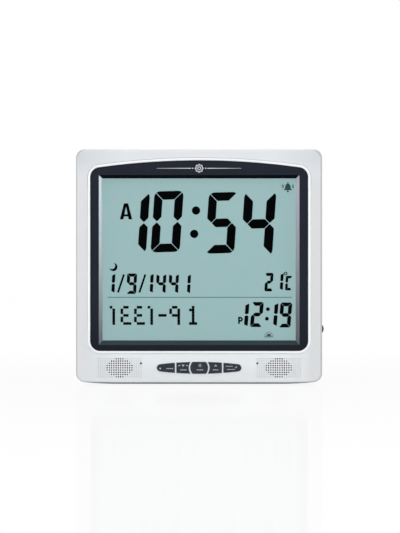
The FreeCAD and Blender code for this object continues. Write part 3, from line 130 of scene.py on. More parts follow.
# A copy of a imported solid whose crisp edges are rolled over.
def softened(node, name, width, segments=3, angle=35, move=None):
    piece = mergedCopy(node, name, flatten=True, move=move)
    bevel = piece.modifiers.new("roll", "BEVEL")
    bevel.width = width * mm
    bevel.segments = segments
    bevel.limit_method = "ANGLE"
    bevel.angle_limit = math.radians(angle)
    settled(piece)
    return evenNormals(piece)


# A softened copy that takes the place of its solid.
def dressed(node, name, body, slotName, finishName, width, **roll):
    piece = softened(node, name, width, **roll)
    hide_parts(node)
    return finished(piece, body, slotName, finishName)


# Shapes drawn flat: lists of (x, z) corners, anticlockwise seen from the front


def onCircle(x, z, radius, angle):
    return (x + radius * math.cos(angle), z + radius * math.sin(angle))


def circleShape(x, z, radius, sides=28):
    step = 2 * math.pi / sides
    return [onCircle(x, z, radius, i * step) for i in range(sides)]


def barShape(x, z, width, height):
    left, right, low, high = x - width / 2, x + width / 2, z - height / 2, z + height / 2
    return [(left, low), (right, low), (right, high), (left, high)]


# A stroke of even width along a row of points, with mitred bends.
def ribbonShape(points, width, sharpest=0.4):
    left, right = [], []
    for i, point in enumerate(points):
        here = Vector(point)
        into = (here - Vector(points[i - 1])).normalized() if i else None
        out = (Vector(points[i + 1]) - here).normalized() if i + 1 < len(points) else None
        along = ((into or out) + (out or into)).normalized()
        normal = Vector((-along.y, along.x))
        reach = width / 2 / max(sharpest, normal.dot(Vector((-(out or into).y, (out or into).x))))
        left.append(tuple(here + normal * reach))
        right.append(tuple(here - normal * reach))
    return right + left[::-1]


# A ring as a row of four-cornered pieces.
def ringShapes(x, z, outer, inner, sides):
    step = 2 * math.pi / sides
    shapes = []
    for i in range(sides):
        corners = ((inner, i), (outer, i), (outer, i + 1), (inner, i + 1))
        shapes.append([onCircle(x, z, radius, turn * step) for radius, turn in corners])
    return shapes


# A new moon: a disc without a second disc that is shifted along a heading, in degrees.
def crescentShape(x, z, radius, bite, shift, heading, steps=24):
    turn = math.radians(heading)
    biteX, biteZ = onCircle(x, z, shift, turn)
    # half the angle of each arc that the two circles cut from each other
    along = (shift * shift + radius * radius - bite * bite) / (2 * shift)
    outer = math.acos(max(-1, min(1, along / radius)))
    inner = math.atan2(math.sin(outer) * radius, along - shift)
    points = [
        onCircle(x, z, radius, turn + outer + (2 * math.pi - 2 * outer) * i / steps)
        for i in range(steps + 1)
    ]
    points += [
        onCircle(biteX, biteZ, bite, turn - inner - (2 * math.pi - 2 * inner) * i / steps)
        for i in range(1, steps)
    ]
    return points


# The part of a convex shape where a*u + b*v is at least c.
def clipped(points, a, b, c):
    kept = []
    for i, here in enumerate(points):
        after = points[(i + 1) % len(points)]
        d0, d1 = a * here[0] + b * here[1] - c, a * after[0] + b * after[1] - c
        if d0 >= 0:
            kept.append(here)
        if (d0 >= 0) != (d1 >= 0):
            t = d0 / (d0 - d1)
            kept.append((here[0] + (after[0] - here[0]) * t, here[1] + (after[1] - here[1]) * t))
    return kept


def roundedBlock(width, height, radius, steps=5):
    right, top = width - radius, height - radius
    points = []
    for quarter, (x, z) in enumerate(((right, radius), (right, top), (radius, top), (radius, radius))):
        for i in range(steps + 1):
            points.append(onCircle(x, z, radius, math.radians(90 * (quarter - 1) + 90 * i / steps)))
    return points


# The same shape with its corners cut round, but for those that are tiny or nearly straight (in radians).
def eased(points, radius, share=0.4, tiny=0.02, straight=2.9):
    out = []
    for i, here in enumerate(points):
        p = Vector(here)
        into, away = Vector(points[i - 1]) - p, Vector(points[(i + 1) % len(points)]) - p
        reach = min(radius, into.length * share, away.length * share)
        if reach < tiny or into.angle(away, math.pi) > straight:
            out.append(here)
            continue
        a, b = p + into.normalized() * reach, p + away.normalized() * reach
        for t in (0, 0.33, 0.67, 1):
            q = a * (1 - t) ** 2 + p * (2 * t * (1 - t)) + b * t ** 2
            out.append((q.x, q.y))
    return out


# Thin solid prisms: each shape drawn flat, from depth back to depth front (y, in millimetres).
def plate(name, shapes, front, back):
    solid = bmesh.new()
    for shape in shapes:
        face = solid.faces.new([solid.verts.new((x * mm, back * mm, z * mm)) for x, z in shape])
        pulled = bmesh.ops.extrude_face_region(solid, geom=[face])
        moved = [g for g in pulled["geom"] if isinstance(g, bmesh.types.BMVert)]
        bmesh.ops.translate(solid, verts=moved, vec=(0, (front - back) * mm, 0))
    bmesh.ops.recalc_face_normals(solid, faces=solid.faces)
    return released(solid, name)


# Helpers for node trees


# Fills the inputs of a node: an output of another node is linked, anything else is a plain value.
def fill(tree, node, inputs):
    for label, value in inputs.items():
        if isinstance(value, bpy.types.NodeSocket):
            tree.links.new(value, node.inputs[label])
        else:
            node.inputs[label].default_value = value


def addNode(tree, kind, inputs=None):
    node = tree.nodes.new(kind)
    fill(tree, node, inputs or {})
    return node


# The node tree of a new material or world, empty.
def emptyTree(holder):
    holder.use_nodes = True
    holder.node_tree.nodes.clear()
    return holder.node_tree


# A node group with named sockets: the group, what it is given, and its last node.
def startGroup(name, kind, inputs, outputs):
    group = bpy.data.node_groups.new(name, kind)
    for way, sockets in (("INPUT", inputs), ("OUTPUT", outputs)):
        for label, socketKind in sockets.items():
            group.interface.new_socket(name=label, in_out=way, socket_type="NodeSocket" + socketKind)
    return group, group.nodes.new("NodeGroupInput").outputs, group.nodes.new("NodeGroupOutput")


def mathOf(tree, operation, *values):
    step = addNode(tree, "ShaderNodeMath", dict(enumerate(values)))
    step.operation = operation
    return step.outputs[0]


def mixedColour(tree, factor, first, second):
    mix = addNode(tree, "ShaderNodeMix")
    mix.data_type = "RGBA"
    fill(tree, mix, {"Factor": factor, "A": first, "B": second})
    return mix.outputs["Result"]


def nodeOf(tree, kind):
    return next(n for n in tree.nodes if n.type == kind)


# The three coordinates of a point in a material, in metres.
def axesOf(tree):
    place = nodeOf(tree, "TEX_COORD").outputs["Object"]
    return addNode(tree, "ShaderNodeSeparateXYZ", {"Vector": place}).outputs


# A mask that rises from nought at the first place to one at the second, both in millimetres.
def rampOf(tree, source, places):
    inputs = {"Value": source, "From Min": places[0] * mm, "From Max": places[1] * mm}
    return addNode(tree, "ShaderNodeMapRange", inputs).outputs["Result"]


# A mask that is high only where both of its masks are.
def bothOf(tree, first, second):
    return mathOf(tree, "MULTIPLY", first, second)


def lengthOf(tree, first, second):
    squares = [mathOf(tree, "MULTIPLY", part, part) for part in (first, second)]
    return mathOf(tree, "SQRT", mathOf(tree, "ADD", *squares))


# Turns the colour of a material towards another one where the mask is high.
def tinted(tree, mask, colour):
    base = nodeOf(tree, "BSDF_PRINCIPLED").inputs["Base Color"]
    tree.links.new(mixedColour(tree, mask, base.links[0].from_socket, (*colour, 1.0)), base)


# Node groups that several materials share


def startFinish(name, own):
    inputs = {"Vector": "Vector", "Colour": "Color", **own, "Smooth": "Float", "Rough": "Float"}
    outputs = {"Colour": "Color", "Roughness": "Float", "Height": "Float"}
    return startGroup(name, "ShaderNodeTree", inputs, outputs)


# Plastic from a mould: a slow drift of colour, and a fine grain that also roughens it.
def makeMouldedFinish():
    own = {"Drift colour": "Color", "Drift scale": "Float", "Grain scale": "Float"}
    group, given, made = startFinish("mouldedFinish", own)
    drift = addNode(group, "ShaderNodeTexNoise", {
        "Vector": given["Vector"], "Scale": given["Drift scale"], "Detail": 3.0,
    })
    spread = addNode(group, "ShaderNodeMapRange", {
        "Value": drift.outputs["Fac"], "From Min": 0.32, "From Max": 0.68,
    })
    grain = addNode(group, "ShaderNodeTexNoise", {
        "Vector": given["Vector"], "Scale": given["Grain scale"], "Detail": 2.0,
    })
    rough = addNode(group, "ShaderNodeMapRange", {
        "Value": grain.outputs["Fac"], "From Min": 0.3, "From Max": 0.7,
        "To Min": given["Smooth"], "To Max": given["Rough"],
    })
    fill(group, made, {
        "Colour": mixedColour(group, spread.outputs["Result"], given["Colour"], given["Drift colour"]),
        "Roughness": rough.outputs["Result"],
        "Height": grain.outputs["Fac"],
    })
    return group


# Even stripes across one axis, for drawn metal, striped rubber and the speakers' cones.
def makeStripeFinish():
    own = {"Stripe colour": "Color", "Stripe scale": "Float", "Waver": "Float"}
    group, given, made = startFinish("stripeFinish", own)
    wave = addNode(group, "ShaderNodeTexWave", {
        "Vector": given["Vector"], "Scale": given["Stripe scale"],
        "Distortion": given["Waver"], "Detail": 2.0,
    }).outputs["Fac"]
    rough = addNode(group, "ShaderNodeMapRange", {
        "Value": wave, "To Min": given["Smooth"], "To Max": given["Rough"],
    })
    fill(group, made, {
        "Colour": mixedColour(group, wave, given["Colour"], given["Stripe colour"]),
        "Roughness": rough.outputs["Result"],
        "Height": wave,
    })
    return group


mouldedFinish = makeMouldedFinish()
stripeFinish = makeStripeFinish()


# A material whose colour, roughness and relief come from a shared group. The relief's depth is in metres.
def finish(name, group, values, metal=0.0, shine=0.5, coat=0.0, coatRough=0.12, bump=0.1, depth=0.00002):
    material = bpy.data.materials.new(name)
    tree = emptyTree(material)
    look = addNode(tree, "ShaderNodeGroup")
    look.node_tree = group
    fill(tree, look, {"Vector": addNode(tree, "ShaderNodeTexCoord").outputs["Object"], **values})
    relief = addNode(tree, "ShaderNodeBump", {
        "Strength": bump, "Distance": depth, "Height": look.outputs["Height"],
    })
    shader = addNode(tree, "ShaderNodeBsdfPrincipled", {
        "Base Color": look.outputs["Colour"],
        "Roughness": look.outputs["Roughness"],
        "Normal": relief.outputs["Normal"],
        "Metallic": metal,
        "Specular IOR Level": shine,
        "Coat Weight": coat,
        "Coat Roughness": coatRough,
    })
    addNode(tree, "ShaderNodeOutputMaterial", {"Surface": shader.outputs["BSDF"]})
    return material


def moulded(name, colour, drift, smooth, rough, shine, bump, driftScale=30.0, grainScale=2500.0, **more):
    values = {
        "Colour": (*colour, 1.0), "Drift colour": (*drift, 1.0), "Drift scale": driftScale,
        "Grain scale": grainScale, "Smooth": smooth, "Rough": rough,
    }
    return finish(name, mouldedFinish, values, shine=shine, bump=bump, **more)


def striped(name, colour, stripe, scale, smooth, rough, waver=2.0, **more):
    values = {
        "Colour": (*colour, 1.0), "Stripe colour": (*stripe, 1.0), "Stripe scale": scale,
        "Waver": waver, "Smooth": smooth, "Rough": rough,
    }
    return finish(name, stripeFinish, values, **more)


# finish: colour, drifting colour, least and most roughness, shine, strength of the grain, what else differs
mouldedLooks = {
    "caseSilver": ((0.725, 0.750, 0.770), (0.745, 0.765, 0.785), 0.36, 0.46, 0.16, 0.12, {"driftScale": 14}),
    # the bead's white is a painted highlight along its rounded lip
    "beadWhite": ((0.90, 0.91, 0.92), (0.92, 0.93, 0.935), 0.2, 0.28, 0.3, 0.05, {"coat": 0.2}),
    # painted shade in the groove round the bead
    "grooveGrey": ((0.66, 0.68, 0.70), (0.69, 0.71, 0.73), 0.4, 0.5, 0.2, 0.1, {}),
    # painted shade inside the sound holes and on the blind dimples of the grilles
    "soundHole": ((0.008, 0.009, 0.010), (0.014, 0.015, 0.016), 0.6, 0.7, 0.03, 0.1, {}),
    "blindHole": ((0.64, 0.655, 0.67), (0.68, 0.695, 0.71), 0.5, 0.6, 0.1, 0.1, {}),
    "insidePlastic": ((0.62, 0.63, 0.64), (0.66, 0.67, 0.67), 0.5, 0.62, 0.2, 0.2, {}),
    "backTexture": (
        (0.70, 0.72, 0.735), (0.73, 0.745, 0.76), 0.48, 0.62, 0.2, 0.55,
        {"driftScale": 20, "grainScale": 1500, "depth": 0.00006},
    ),
    "frameFace": ((0.0085, 0.0115, 0.0205), (0.011, 0.014, 0.024), 0.26, 0.36, 0.12, 0.04, {}),
    # the four slopes round the display are lit and shaded copies of the frame's navy: painted reflections on
    # the sides and sill, painted shade on the head
    "frameLeft": ((0.015, 0.024, 0.028), (0.020, 0.029, 0.034), 0.27, 0.33, 0.6, 0.03, {}),
    "frameRight": ((0.022, 0.028, 0.036), (0.027, 0.034, 0.042), 0.27, 0.33, 0.6, 0.03, {}),
    "frameSill": ((0.012, 0.027, 0.032), (0.015, 0.031, 0.036), 0.3, 0.4, 0.12, 0.03, {}),
    "frameHead": ((0.001, 0.003, 0.006), (0.002, 0.004, 0.008), 0.35, 0.45, 0.03, 0.03, {}),
    "framePrint": ((0.78, 0.80, 0.82), (0.70, 0.72, 0.74), 0.4, 0.5, 0.2, 0.02, {"driftScale": 400}),
    "displayTint": ((0.313, 0.488, 0.490), (0.330, 0.482, 0.493), 0.5, 0.6, 0.08, 0.02, {"driftScale": 55}),
    "displayGlass": ((0.93, 0.97, 0.96), (0.90, 0.96, 0.95), 0.02, 0.05, 0.5, 0.01, {}),
    "segmentInk": ((0.0006, 0.0008, 0.0010), (0.0012, 0.0015, 0.0017), 0.6, 0.75, 0.01, 0.02, {}),
    "ruleInk": ((0.105, 0.200, 0.205), (0.12, 0.215, 0.22), 0.5, 0.6, 0.03, 0.02, {}),
    "symbolInk": ((0.030, 0.058, 0.062), (0.042, 0.072, 0.076), 0.5, 0.6, 0.03, 0.02, {}),
    "keySlate": ((0.014, 0.018, 0.026), (0.022, 0.027, 0.036), 0.34, 0.46, 0.25, 0.15, {"driftScale": 160}),
    "keyPrint": ((0.50, 0.53, 0.56), (0.38, 0.41, 0.44), 0.5, 0.6, 0.2, 0.02, {"driftScale": 900}),
    "keyRubber": ((0.30, 0.31, 0.32), (0.34, 0.35, 0.36), 0.62, 0.76, 0.5, 0.2, {}),
    "wheelBlack": ((0.006, 0.006, 0.007), (0.011, 0.011, 0.012), 0.5, 0.62, 0.05, 0.3, {}),
    "boardGreen": (
        (0.022, 0.120, 0.050), (0.035, 0.165, 0.070), 0.3, 0.42, 0.5, 0.1,
        {"driftScale": 240, "grainScale": 900, "coat": 0.3},
    ),
    "chipBlack": ((0.014, 0.014, 0.016), (0.022, 0.022, 0.024), 0.5, 0.66, 0.5, 0.3, {}),
    "holderIvory": ((0.66, 0.66, 0.60), (0.70, 0.70, 0.65), 0.5, 0.6, 0.5, 0.1, {}),
    "basketGrey": ((0.20, 0.20, 0.21), (0.25, 0.25, 0.26), 0.36, 0.48, 0.5, 0.1, {"metal": 0.6}),
    "magnetGrey": ((0.060, 0.060, 0.065), (0.085, 0.085, 0.090), 0.5, 0.62, 0.5, 0.3, {"metal": 0.2}),
    "gasketFoam": (
        (0.022, 0.022, 0.022), (0.035, 0.035, 0.035), 0.8, 0.95, 0.5, 0.8,
        {"grainScale": 1200, "depth": 0.0001},
    ),
    "sensorBead": ((0.030, 0.022, 0.016), (0.045, 0.032, 0.022), 0.2, 0.3, 0.5, 0.1, {"coat": 0.5}),
    "cellJacket": ((0.045, 0.050, 0.060), (0.060, 0.066, 0.078), 0.26, 0.36, 0.5, 0.1, {"coat": 0.3}),
    "wireRed": ((0.36, 0.025, 0.02), (0.42, 0.035, 0.03), 0.34, 0.44, 0.5, 0.1, {}),
    "reflectorSilver": ((0.50, 0.58, 0.56), (0.54, 0.62, 0.60), 0.35, 0.45, 0.5, 0.1, {"metal": 0.4}),
}
# finish: colour, stripe colour, scale of the stripes, least and most roughness, and what else differs
stripedLooks = {
    "steel": ((0.55, 0.55, 0.56), (0.46, 0.46, 0.47), 900, 0.26, 0.4, {"metal": 1.0}),
    "nickel": ((0.66, 0.65, 0.62), (0.58, 0.57, 0.55), 700, 0.2, 0.32, {"metal": 1.0, "bump": 0.08}),
    "capacitorBlue": ((0.020, 0.026, 0.070), (0.030, 0.038, 0.095), 300, 0.28, 0.36, {}),
    "zebraRubber": ((0.58, 0.56, 0.52), (0.03, 0.03, 0.03), 3000, 0.6, 0.7, {"waver": 0.0}),
    "coneFilm": ((0.016, 0.016, 0.018), (0.028, 0.028, 0.030), 420, 0.4, 0.55, {"waver": 0.6}),
}
for make, looks in ((moulded, mouldedLooks), (striped, stripedLooks)):
    for name, (*look, more) in looks.items():
        paint[name] = make(name, *look, **more)

# In the next four dictionaries a pair is a ramp: where the tint begins, and where it is full
# painted light and shade on the silver case
caseShade = {
    "leftColumn": (-108.0, -113.0), "leftColour": (0.733, 0.738, 0.752),
    "rightColumn": (104.0, 112.0), "rightColour": (0.700, 0.702, 0.714), "columnTop": (214.0, 200.0),
    "cornerAcross": (75.0, 122.0), "cornerUp": (205.0, 222.0), "cornerColour": (0.635, 0.66, 0.685),
    "bandFoot": (0.0, 27.0), "bandTop": (60.0, 42.0), "bandAcross": (110.0, 80.0),
    "bandColour": (0.82, 0.85, 0.87),
    "grilleAcross": 79.2, "grilleHeight": 16.1, "grilleTall": 1.3, "grilleRim": (14.2, 12.6),
    "grilleColour": (0.81, 0.82, 0.83),
}


# Painted light and shade on the silver: painted shade down both sides and in the upper corners, painted light
# under the display, and paler over the grilles.
def shadeCase():
    look, tree = caseShade, paint["caseSilver"].node_tree
    axes = axesOf(tree)
    level, across = axes["Z"], mathOf(tree, "ABSOLUTE", axes["X"])
    below = rampOf(tree, level, look["columnTop"])
    for side in ("left", "right"):
        column = rampOf(tree, axes["X"], look[side + "Column"])
        tinted(tree, bothOf(tree, column, below), look[side + "Colour"])
    corner = bothOf(tree, rampOf(tree, across, look["cornerAcross"]), rampOf(tree, level, look["cornerUp"]))
    tinted(tree, corner, look["cornerColour"])
    band = bothOf(tree, rampOf(tree, level, look["bandFoot"]), rampOf(tree, level, look["bandTop"]))
    tinted(tree, bothOf(tree, band, rampOf(tree, across, look["bandAcross"])), look["bandColour"])
    besideGrille = mathOf(tree, "ADD", across, -look["grilleAcross"] * mm)
    overGrille = mathOf(tree, "ADD", level, -look["grilleHeight"] * mm)
    away = lengthOf(tree, besideGrille, mathOf(tree, "MULTIPLY", overGrille, look["grilleTall"]))
    tinted(tree, rampOf(tree, away, look["grilleRim"]), look["grilleColour"])


# painted shade along the case's rounded front edge and its foot
edgeShade = {
    "front": (-12.8, -13.8), "middle": 116.8, "arcAcross": 112.5, "arcUp": 106.8,
    "rim": (8.2, 8.8),  # how far out from the block on which the corners' arcs are centred
    "sideShift": 0.35, "sideAcross": (113.0, 118.0), "sideColour": (0.47, 0.475, 0.485),
    "foot": (2.3, 1.7), "footColour": (0.33, 0.335, 0.34),
}


# Painted shade on the rounded front edge: down the sides, round into the corners, and along the foot.
def shadeCaseEdge():
    look, tree = edgeShade, paint["caseSilver"].node_tree
    axes = axesOf(tree)
    front = rampOf(tree, axes["Y"], look["front"])
    across = mathOf(tree, "ABSOLUTE", mathOf(tree, "ADD", axes["X"], look["sideShift"] * mm))
    upright = mathOf(tree, "ABSOLUTE", mathOf(tree, "ADD", axes["Z"], -look["middle"] * mm))
    beyond = [
        mathOf(tree, "MAXIMUM", mathOf(tree, "ADD", part, -edge * mm), 0.0)
        for part, edge in ((across, look["arcAcross"]), (upright, look["arcUp"]))
    ]
    rim = rampOf(tree, lengthOf(tree, *beyond), look["rim"])
    side = bothOf(tree, rim, rampOf(tree, across, look["sideAcross"]))
    tinted(tree, bothOf(tree, side, front), look["sideColour"])
    tinted(tree, bothOf(tree, rampOf(tree, axes["Z"], look["foot"]), front), look["footColour"])


frameShade = {
    "face": (80.0, 38.0), "faceColour": (0.0055, 0.0080, 0.0145),
    # the side slopes' painted reflections, paler with height
    "rise": (40.0, 195.0), "frameLeft": (0.44, 0.54, 0.60), "frameRight": (0.28, 0.29, 0.36),
    "inner": (98.3, 95.9), "innerColour": (0.10, 0.16, 0.20),
    "rim": (99.62, 99.82), "rimColour": (0.009, 0.012, 0.021),
    # the groove: painted light at its foot, painted shade at its head
    "grooveFoot": (70.0, 34.0), "footColour": (0.84, 0.86, 0.88),
    "grooveHead": (190.0, 200.0), "headColour": (0.47, 0.48, 0.50),
}


# The dark frame is darker towards its foot. Its side slopes carry painted reflections, paler with height,
# that end in a dark rim, and the groove round the bead has painted light at the foot and painted shade at the
# head.
def shadeFrame():
    look, tree = frameShade, paint["frameFace"].node_tree
    tinted(tree, rampOf(tree, axesOf(tree)["Z"], look["face"]), look["faceColour"])
    for name in ("frameLeft", "frameRight"):
        tree = paint[name].node_tree
        axes = axesOf(tree)
        rise, across = rampOf(tree, axes["Z"], look["rise"]), mathOf(tree, "ABSOLUTE", axes["X"])
        tinted(tree, rise, look[name])
        if name == "frameLeft":
            tinted(tree, bothOf(tree, rampOf(tree, across, look["inner"]), rise), look["innerColour"])
        tinted(tree, rampOf(tree, across, look["rim"]), look["rimColour"])
    tree = paint["grooveGrey"].node_tree
    level = axesOf(tree)["Z"]
    tinted(tree, rampOf(tree, level, look["grooveFoot"]), look["footColour"])
    tinted(tree, rampOf(tree, level, look["grooveHead"]), look["headColour"])


cellShade = {"band": (18.5, 18.7), "bandColour": (0.42, 0.24, 0.11)}


# A dry cell's jacket is dark, with a copper band at each end.
def shadeCells():
    tree = paint["cellJacket"].node_tree
    along = mathOf(tree, "ABSOLUTE", axesOf(tree)["X"])
    tinted(tree, rampOf(tree, along, cellShade["band"]), cellShade["bandColour"])


shadeCase()
shadeCaseEdge()
shadeFrame()
shadeCells()
glassTree = paint["displayGlass"].node_tree
fill(glassTree, nodeOf(glassTree, "BSDF_PRINCIPLED"), {"Transmission Weight": 1.0, "IOR": 1.5})
print("materials made")

# Case: closed copies of the two shells, with their own finish on each region

caseLook = {
    "beadDepth": 16.03, "insideFront": 13.7, "holeDepth": 15.3, "dimpleDepth": 15.95,
    "fieldAcross": 79.2, "fieldHalf": 25.5, "fieldHeight": 16.1, "fieldTall": 10.5,
    "grooveDepth": 15.7, "grooveAcross": 112.5, "grooveMiddle": 128.0, "grooveHalf": 100.0,
    "backDepth": 15.5, "insideAcross": 119.5, "insideLow": 4.0, "insideHigh": 229.5,
    "nearly": 0.01, "crispAngle": 28,
    # how much of a face's normal lies along Y: nought is a wall, one faces front or back
    "wallFacing": 0.5, "insideFacing": 0.3, "grooveFacing": 0.9, "backFacing": 0.97,
}
frontFinishes = ["caseSilver", "beadWhite", "grooveGrey", "insidePlastic", "soundHole", "blindHole"]
rearFinishes = ["caseSilver", "backTexture", "insidePlastic"]


# The finish of one face of the front shell. Depths grow towards the back.
def frontRegion(face):
    look = caseLook
    corners = face.id_data.vertices
    depths = [corners[i].co.y / mm for i in face.vertices]
    x, y, z = (part / mm for part in face.center)
    beside, over = abs(abs(x) - look["fieldAcross"]), abs(z - look["fieldHeight"])
    inField = beside < look["fieldHalf"] and over < look["fieldTall"]
    inGroove = abs(x) < look["grooveAcross"] and abs(z - look["grooveMiddle"]) < look["grooveHalf"]
    # the bead's faces take its painted highlight
    if min(depths) < -look["beadDepth"]:
        return "beadWhite"
    # painted shade on the sound holes' walls and in the blind dimples
    if inField and max(depths) > -look["dimpleDepth"]:
        if abs(face.normal.y) < look["wallFacing"] and y > -look["holeDepth"]:
            return "soundHole"
        if max(depths) < -look["holeDepth"]:
            return "blindHole"
    if max(depths) > -look["insideFront"] and face.normal.y > look["insideFacing"]:
        return "insidePlastic"
    onFloor = abs(max(depths) + look["grooveDepth"]) < look["nearly"]
    # the groove's floor gets its painted shade
    if inGroove and onFloor and abs(face.normal.y) > look["grooveFacing"]:
        return "grooveGrey"
    return "caseSilver"


# The finish of one face of the rear shell.
def rearRegion(face):
    look = caseLook
    x, y, z = (part / mm for part in face.center)
    if face.normal.y > look["backFacing"] and y > look["backDepth"]:
        return "backTexture"
    inside = abs(x) < look["insideAcross"] and look["insideLow"] < z < look["insideHigh"]
    if inside and y < look["insideFront"]:
        return "insidePlastic"
    return "caseSilver"


def makeShell(node, name, finishes, regionOf):
    shell = mergedCopy(node, name)
    painted(shell, finishes, regionOf)
    evenNormals(shell, caseLook["crispAngle"])
    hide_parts(node)
    return finished(shell, caseBody, "case_plastic")


makeShell("front_case", "frontShell", frontFinishes, frontRegion)
makeShell("rear_case", "rearShell", rearFinishes, rearRegion)
print("case done")

# Dark frame round the display

frameLook = {
    "roll": 0.28, "frontDepth": -16.2, "printProud": 0.04, "printSunk": 0.01,
    "mouthAcross": 100.3, "mouthLow": 38.5, "mouthHigh": 208.2, "steepest": 0.2, "flattest": -0.93,
}
frameFinishes = ["frameFace", "frameLeft", "frameSill", "frameHead", "frameRight"]


# The finish of one face of the frame: its front, or one of the four slopes down to the display, each slope a
# lit or shaded copy of the frame's navy.
def frameRegion(face):
    look, normal = frameLook, face.normal
    x, z = face.center.x / mm, face.center.z / mm
    inMouth = abs(x) < look["mouthAcross"] and look["mouthLow"] < z < look["mouthHigh"]
    if not inMouth or not look["flattest"] < normal.y < look["steepest"]:
        return "frameFace"
    if abs(normal.x) > abs(normal.z):
        return "frameLeft" if x < 0 else "frameRight"
    return "frameHead" if normal.z < 0 else "frameSill"


def makeDisplayFrame():
    piece = softened("display_bezel", "displayFrame", frameLook["roll"])
    painted(piece, frameFinishes, frameRegion)
    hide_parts("display_bezel")
    return finished(piece, caseBody, "bezel_plastic")


ornament = {
    "height": 214.6, "star": 4.3, "thick": 0.55, "ringOuter": 0.42, "ringInner": 0.26,
    "lineStart": 8.0, "lineEnd": 42.0, "startHalf": 0.32, "endHalf": 0.10, "dotGap": 1.6, "dotRadius": 0.6,
}


# A small eight-pointed star between two fine rules, printed on the head of the frame.
def makeFrameOrnament():
    look = ornament
    z, radius, near, far = look["height"], look["star"], look["startHalf"], look["endHalf"]
    shapes = []
    for turn in (0, 45):
        corners = [onCircle(0, z, radius, math.radians(turn + 45 + 90 * i)) for i in range(4)]
        shapes += [ribbonShape([corners[i - 1], corners[i]], look["thick"]) for i in (1, 2, 3, 0)]
    shapes += ringShapes(0, z, radius * look["ringOuter"], radius * look["ringInner"], 18)
    for side in (-1, 1):
        inner, outer = side * look["lineStart"], side * look["lineEnd"]
        taper = [(inner, z - near), (outer, z - far), (outer, z + far), (inner, z + near)]
        shapes.append(taper if side > 0 else taper[::-1])
        shapes.append(circleShape(side * (look["lineStart"] - look["dotGap"]), z, look["dotRadius"], 14))
    front = frameLook["frontDepth"]
    piece = plate("frameOrnament", shapes, front - frameLook["printProud"], front + frameLook["printSunk"])
    return finished(piece, caseBody, "bezel_plastic", "framePrint")


makeDisplayFrame()
makeFrameOrnament()
print("display frame done")

# Display

displayLook = {"face": -12.5, "inkProud": 0.05, "inkSunk": 0.02, "filmRoll": 0.05}
segmentLetters = {
    "0": "abcdef",
    "1": "bc",
    "2": "abdeg",
    "4": "bcfg",
    "5": "acdfg",
    "9": "abcdfg",
    "C": "adef",
}
bigStroke = {
    "slant": 0.067, "tilt": 0.028, "gap": 0.42, "corner": 5.6, "ease": 0.9,
    "blunt": 1.0, "flatBlunt": 1.0, "trim": 0.0, "split": 0.0,
}
# slant leans a digit and tilt tips it. blunt and flatBlunt slope the ends of strokes beside unlit neighbours,
# and trim and split leave more room there. digits: character, left edge, middle height, width; dots: place.
rows = {
    "bigTime": {
        **bigStroke, "height": 60.9, "bar": 8.5,
        "digits": [("1", -80.0, 160.3, 29.1), ("0", -46.45, 161.65, 29.1), ("5", 7.75, 160.45, 29.2)],
        "dots": [(-3.1, 172.7), (-4.9, 149.4)], "dotRadius": 4.15,
    },
    "bigTimeLast": {**bigStroke, "height": 64.2, "bar": 9.2, "digits": [("4", 43.1, 159.4, 31.8)]},
    "dateRow": {
        "height": 20.4, "slant": 0.050, "tilt": 0.0, "bar": 3.15, "gap": 0.16, "corner": 1.9, "ease": 0.5,
        "blunt": 0.5, "flatBlunt": 1.0, "trim": 0.9, "split": 0.15,
        "digits": [
            ("1", -93.6, 100.2, 9.7), ("9", -72.2, 99.75, 9.9), ("1", -55.4, 100.2, 9.7),
            ("4", -42.9, 99.7, 9.8), ("4", -30.3, 99.7, 9.8), ("1", -18.25, 99.6, 9.7),
        ],
    },
    "warmthRow": {
        "height": 18.4, "slant": 0.062, "tilt": 0.0, "bar": 3.0, "gap": 0.06, "corner": 1.7, "ease": 0.4,
        "blunt": 0.45, "flatBlunt": 0.45, "trim": 1.0, "split": 0.3,
        "digits": [("2", 65.5, 101.3, 8.1), ("1", 75.9, 101.8, 7.9)],
    },
    "degreeLetter": {
        "height": 14.4, "slant": 0.062, "tilt": 0.0, "bar": 2.5, "gap": 0.05, "corner": 1.1, "ease": 0.3,
        "blunt": 0.45, "flatBlunt": 0.6, "trim": 1.0, "split": 0.25,
        "digits": [("C", 86.0, 100.4, 6.4)],
    },
    "secondTime": {
        "height": 24.9, "slant": 0.078, "tilt": 0.0, "bar": 3.75, "gap": 0.14, "corner": 2.4, "ease": 0.55,
        "blunt": 0.45, "flatBlunt": 0.9, "trim": 1.0, "split": 0.3,
        "digits": [
            ("1", 37.6, 68.75, 11.6), ("2", 51.6, 69.05, 11.9),
            ("1", 66.6, 69.0, 11.6), ("9", 80.1, 68.6, 11.8),
        ],
        "dots": [(68.5, 74.4), (67.5, 64.9)], "dotRadius": 1.88,
    },
}


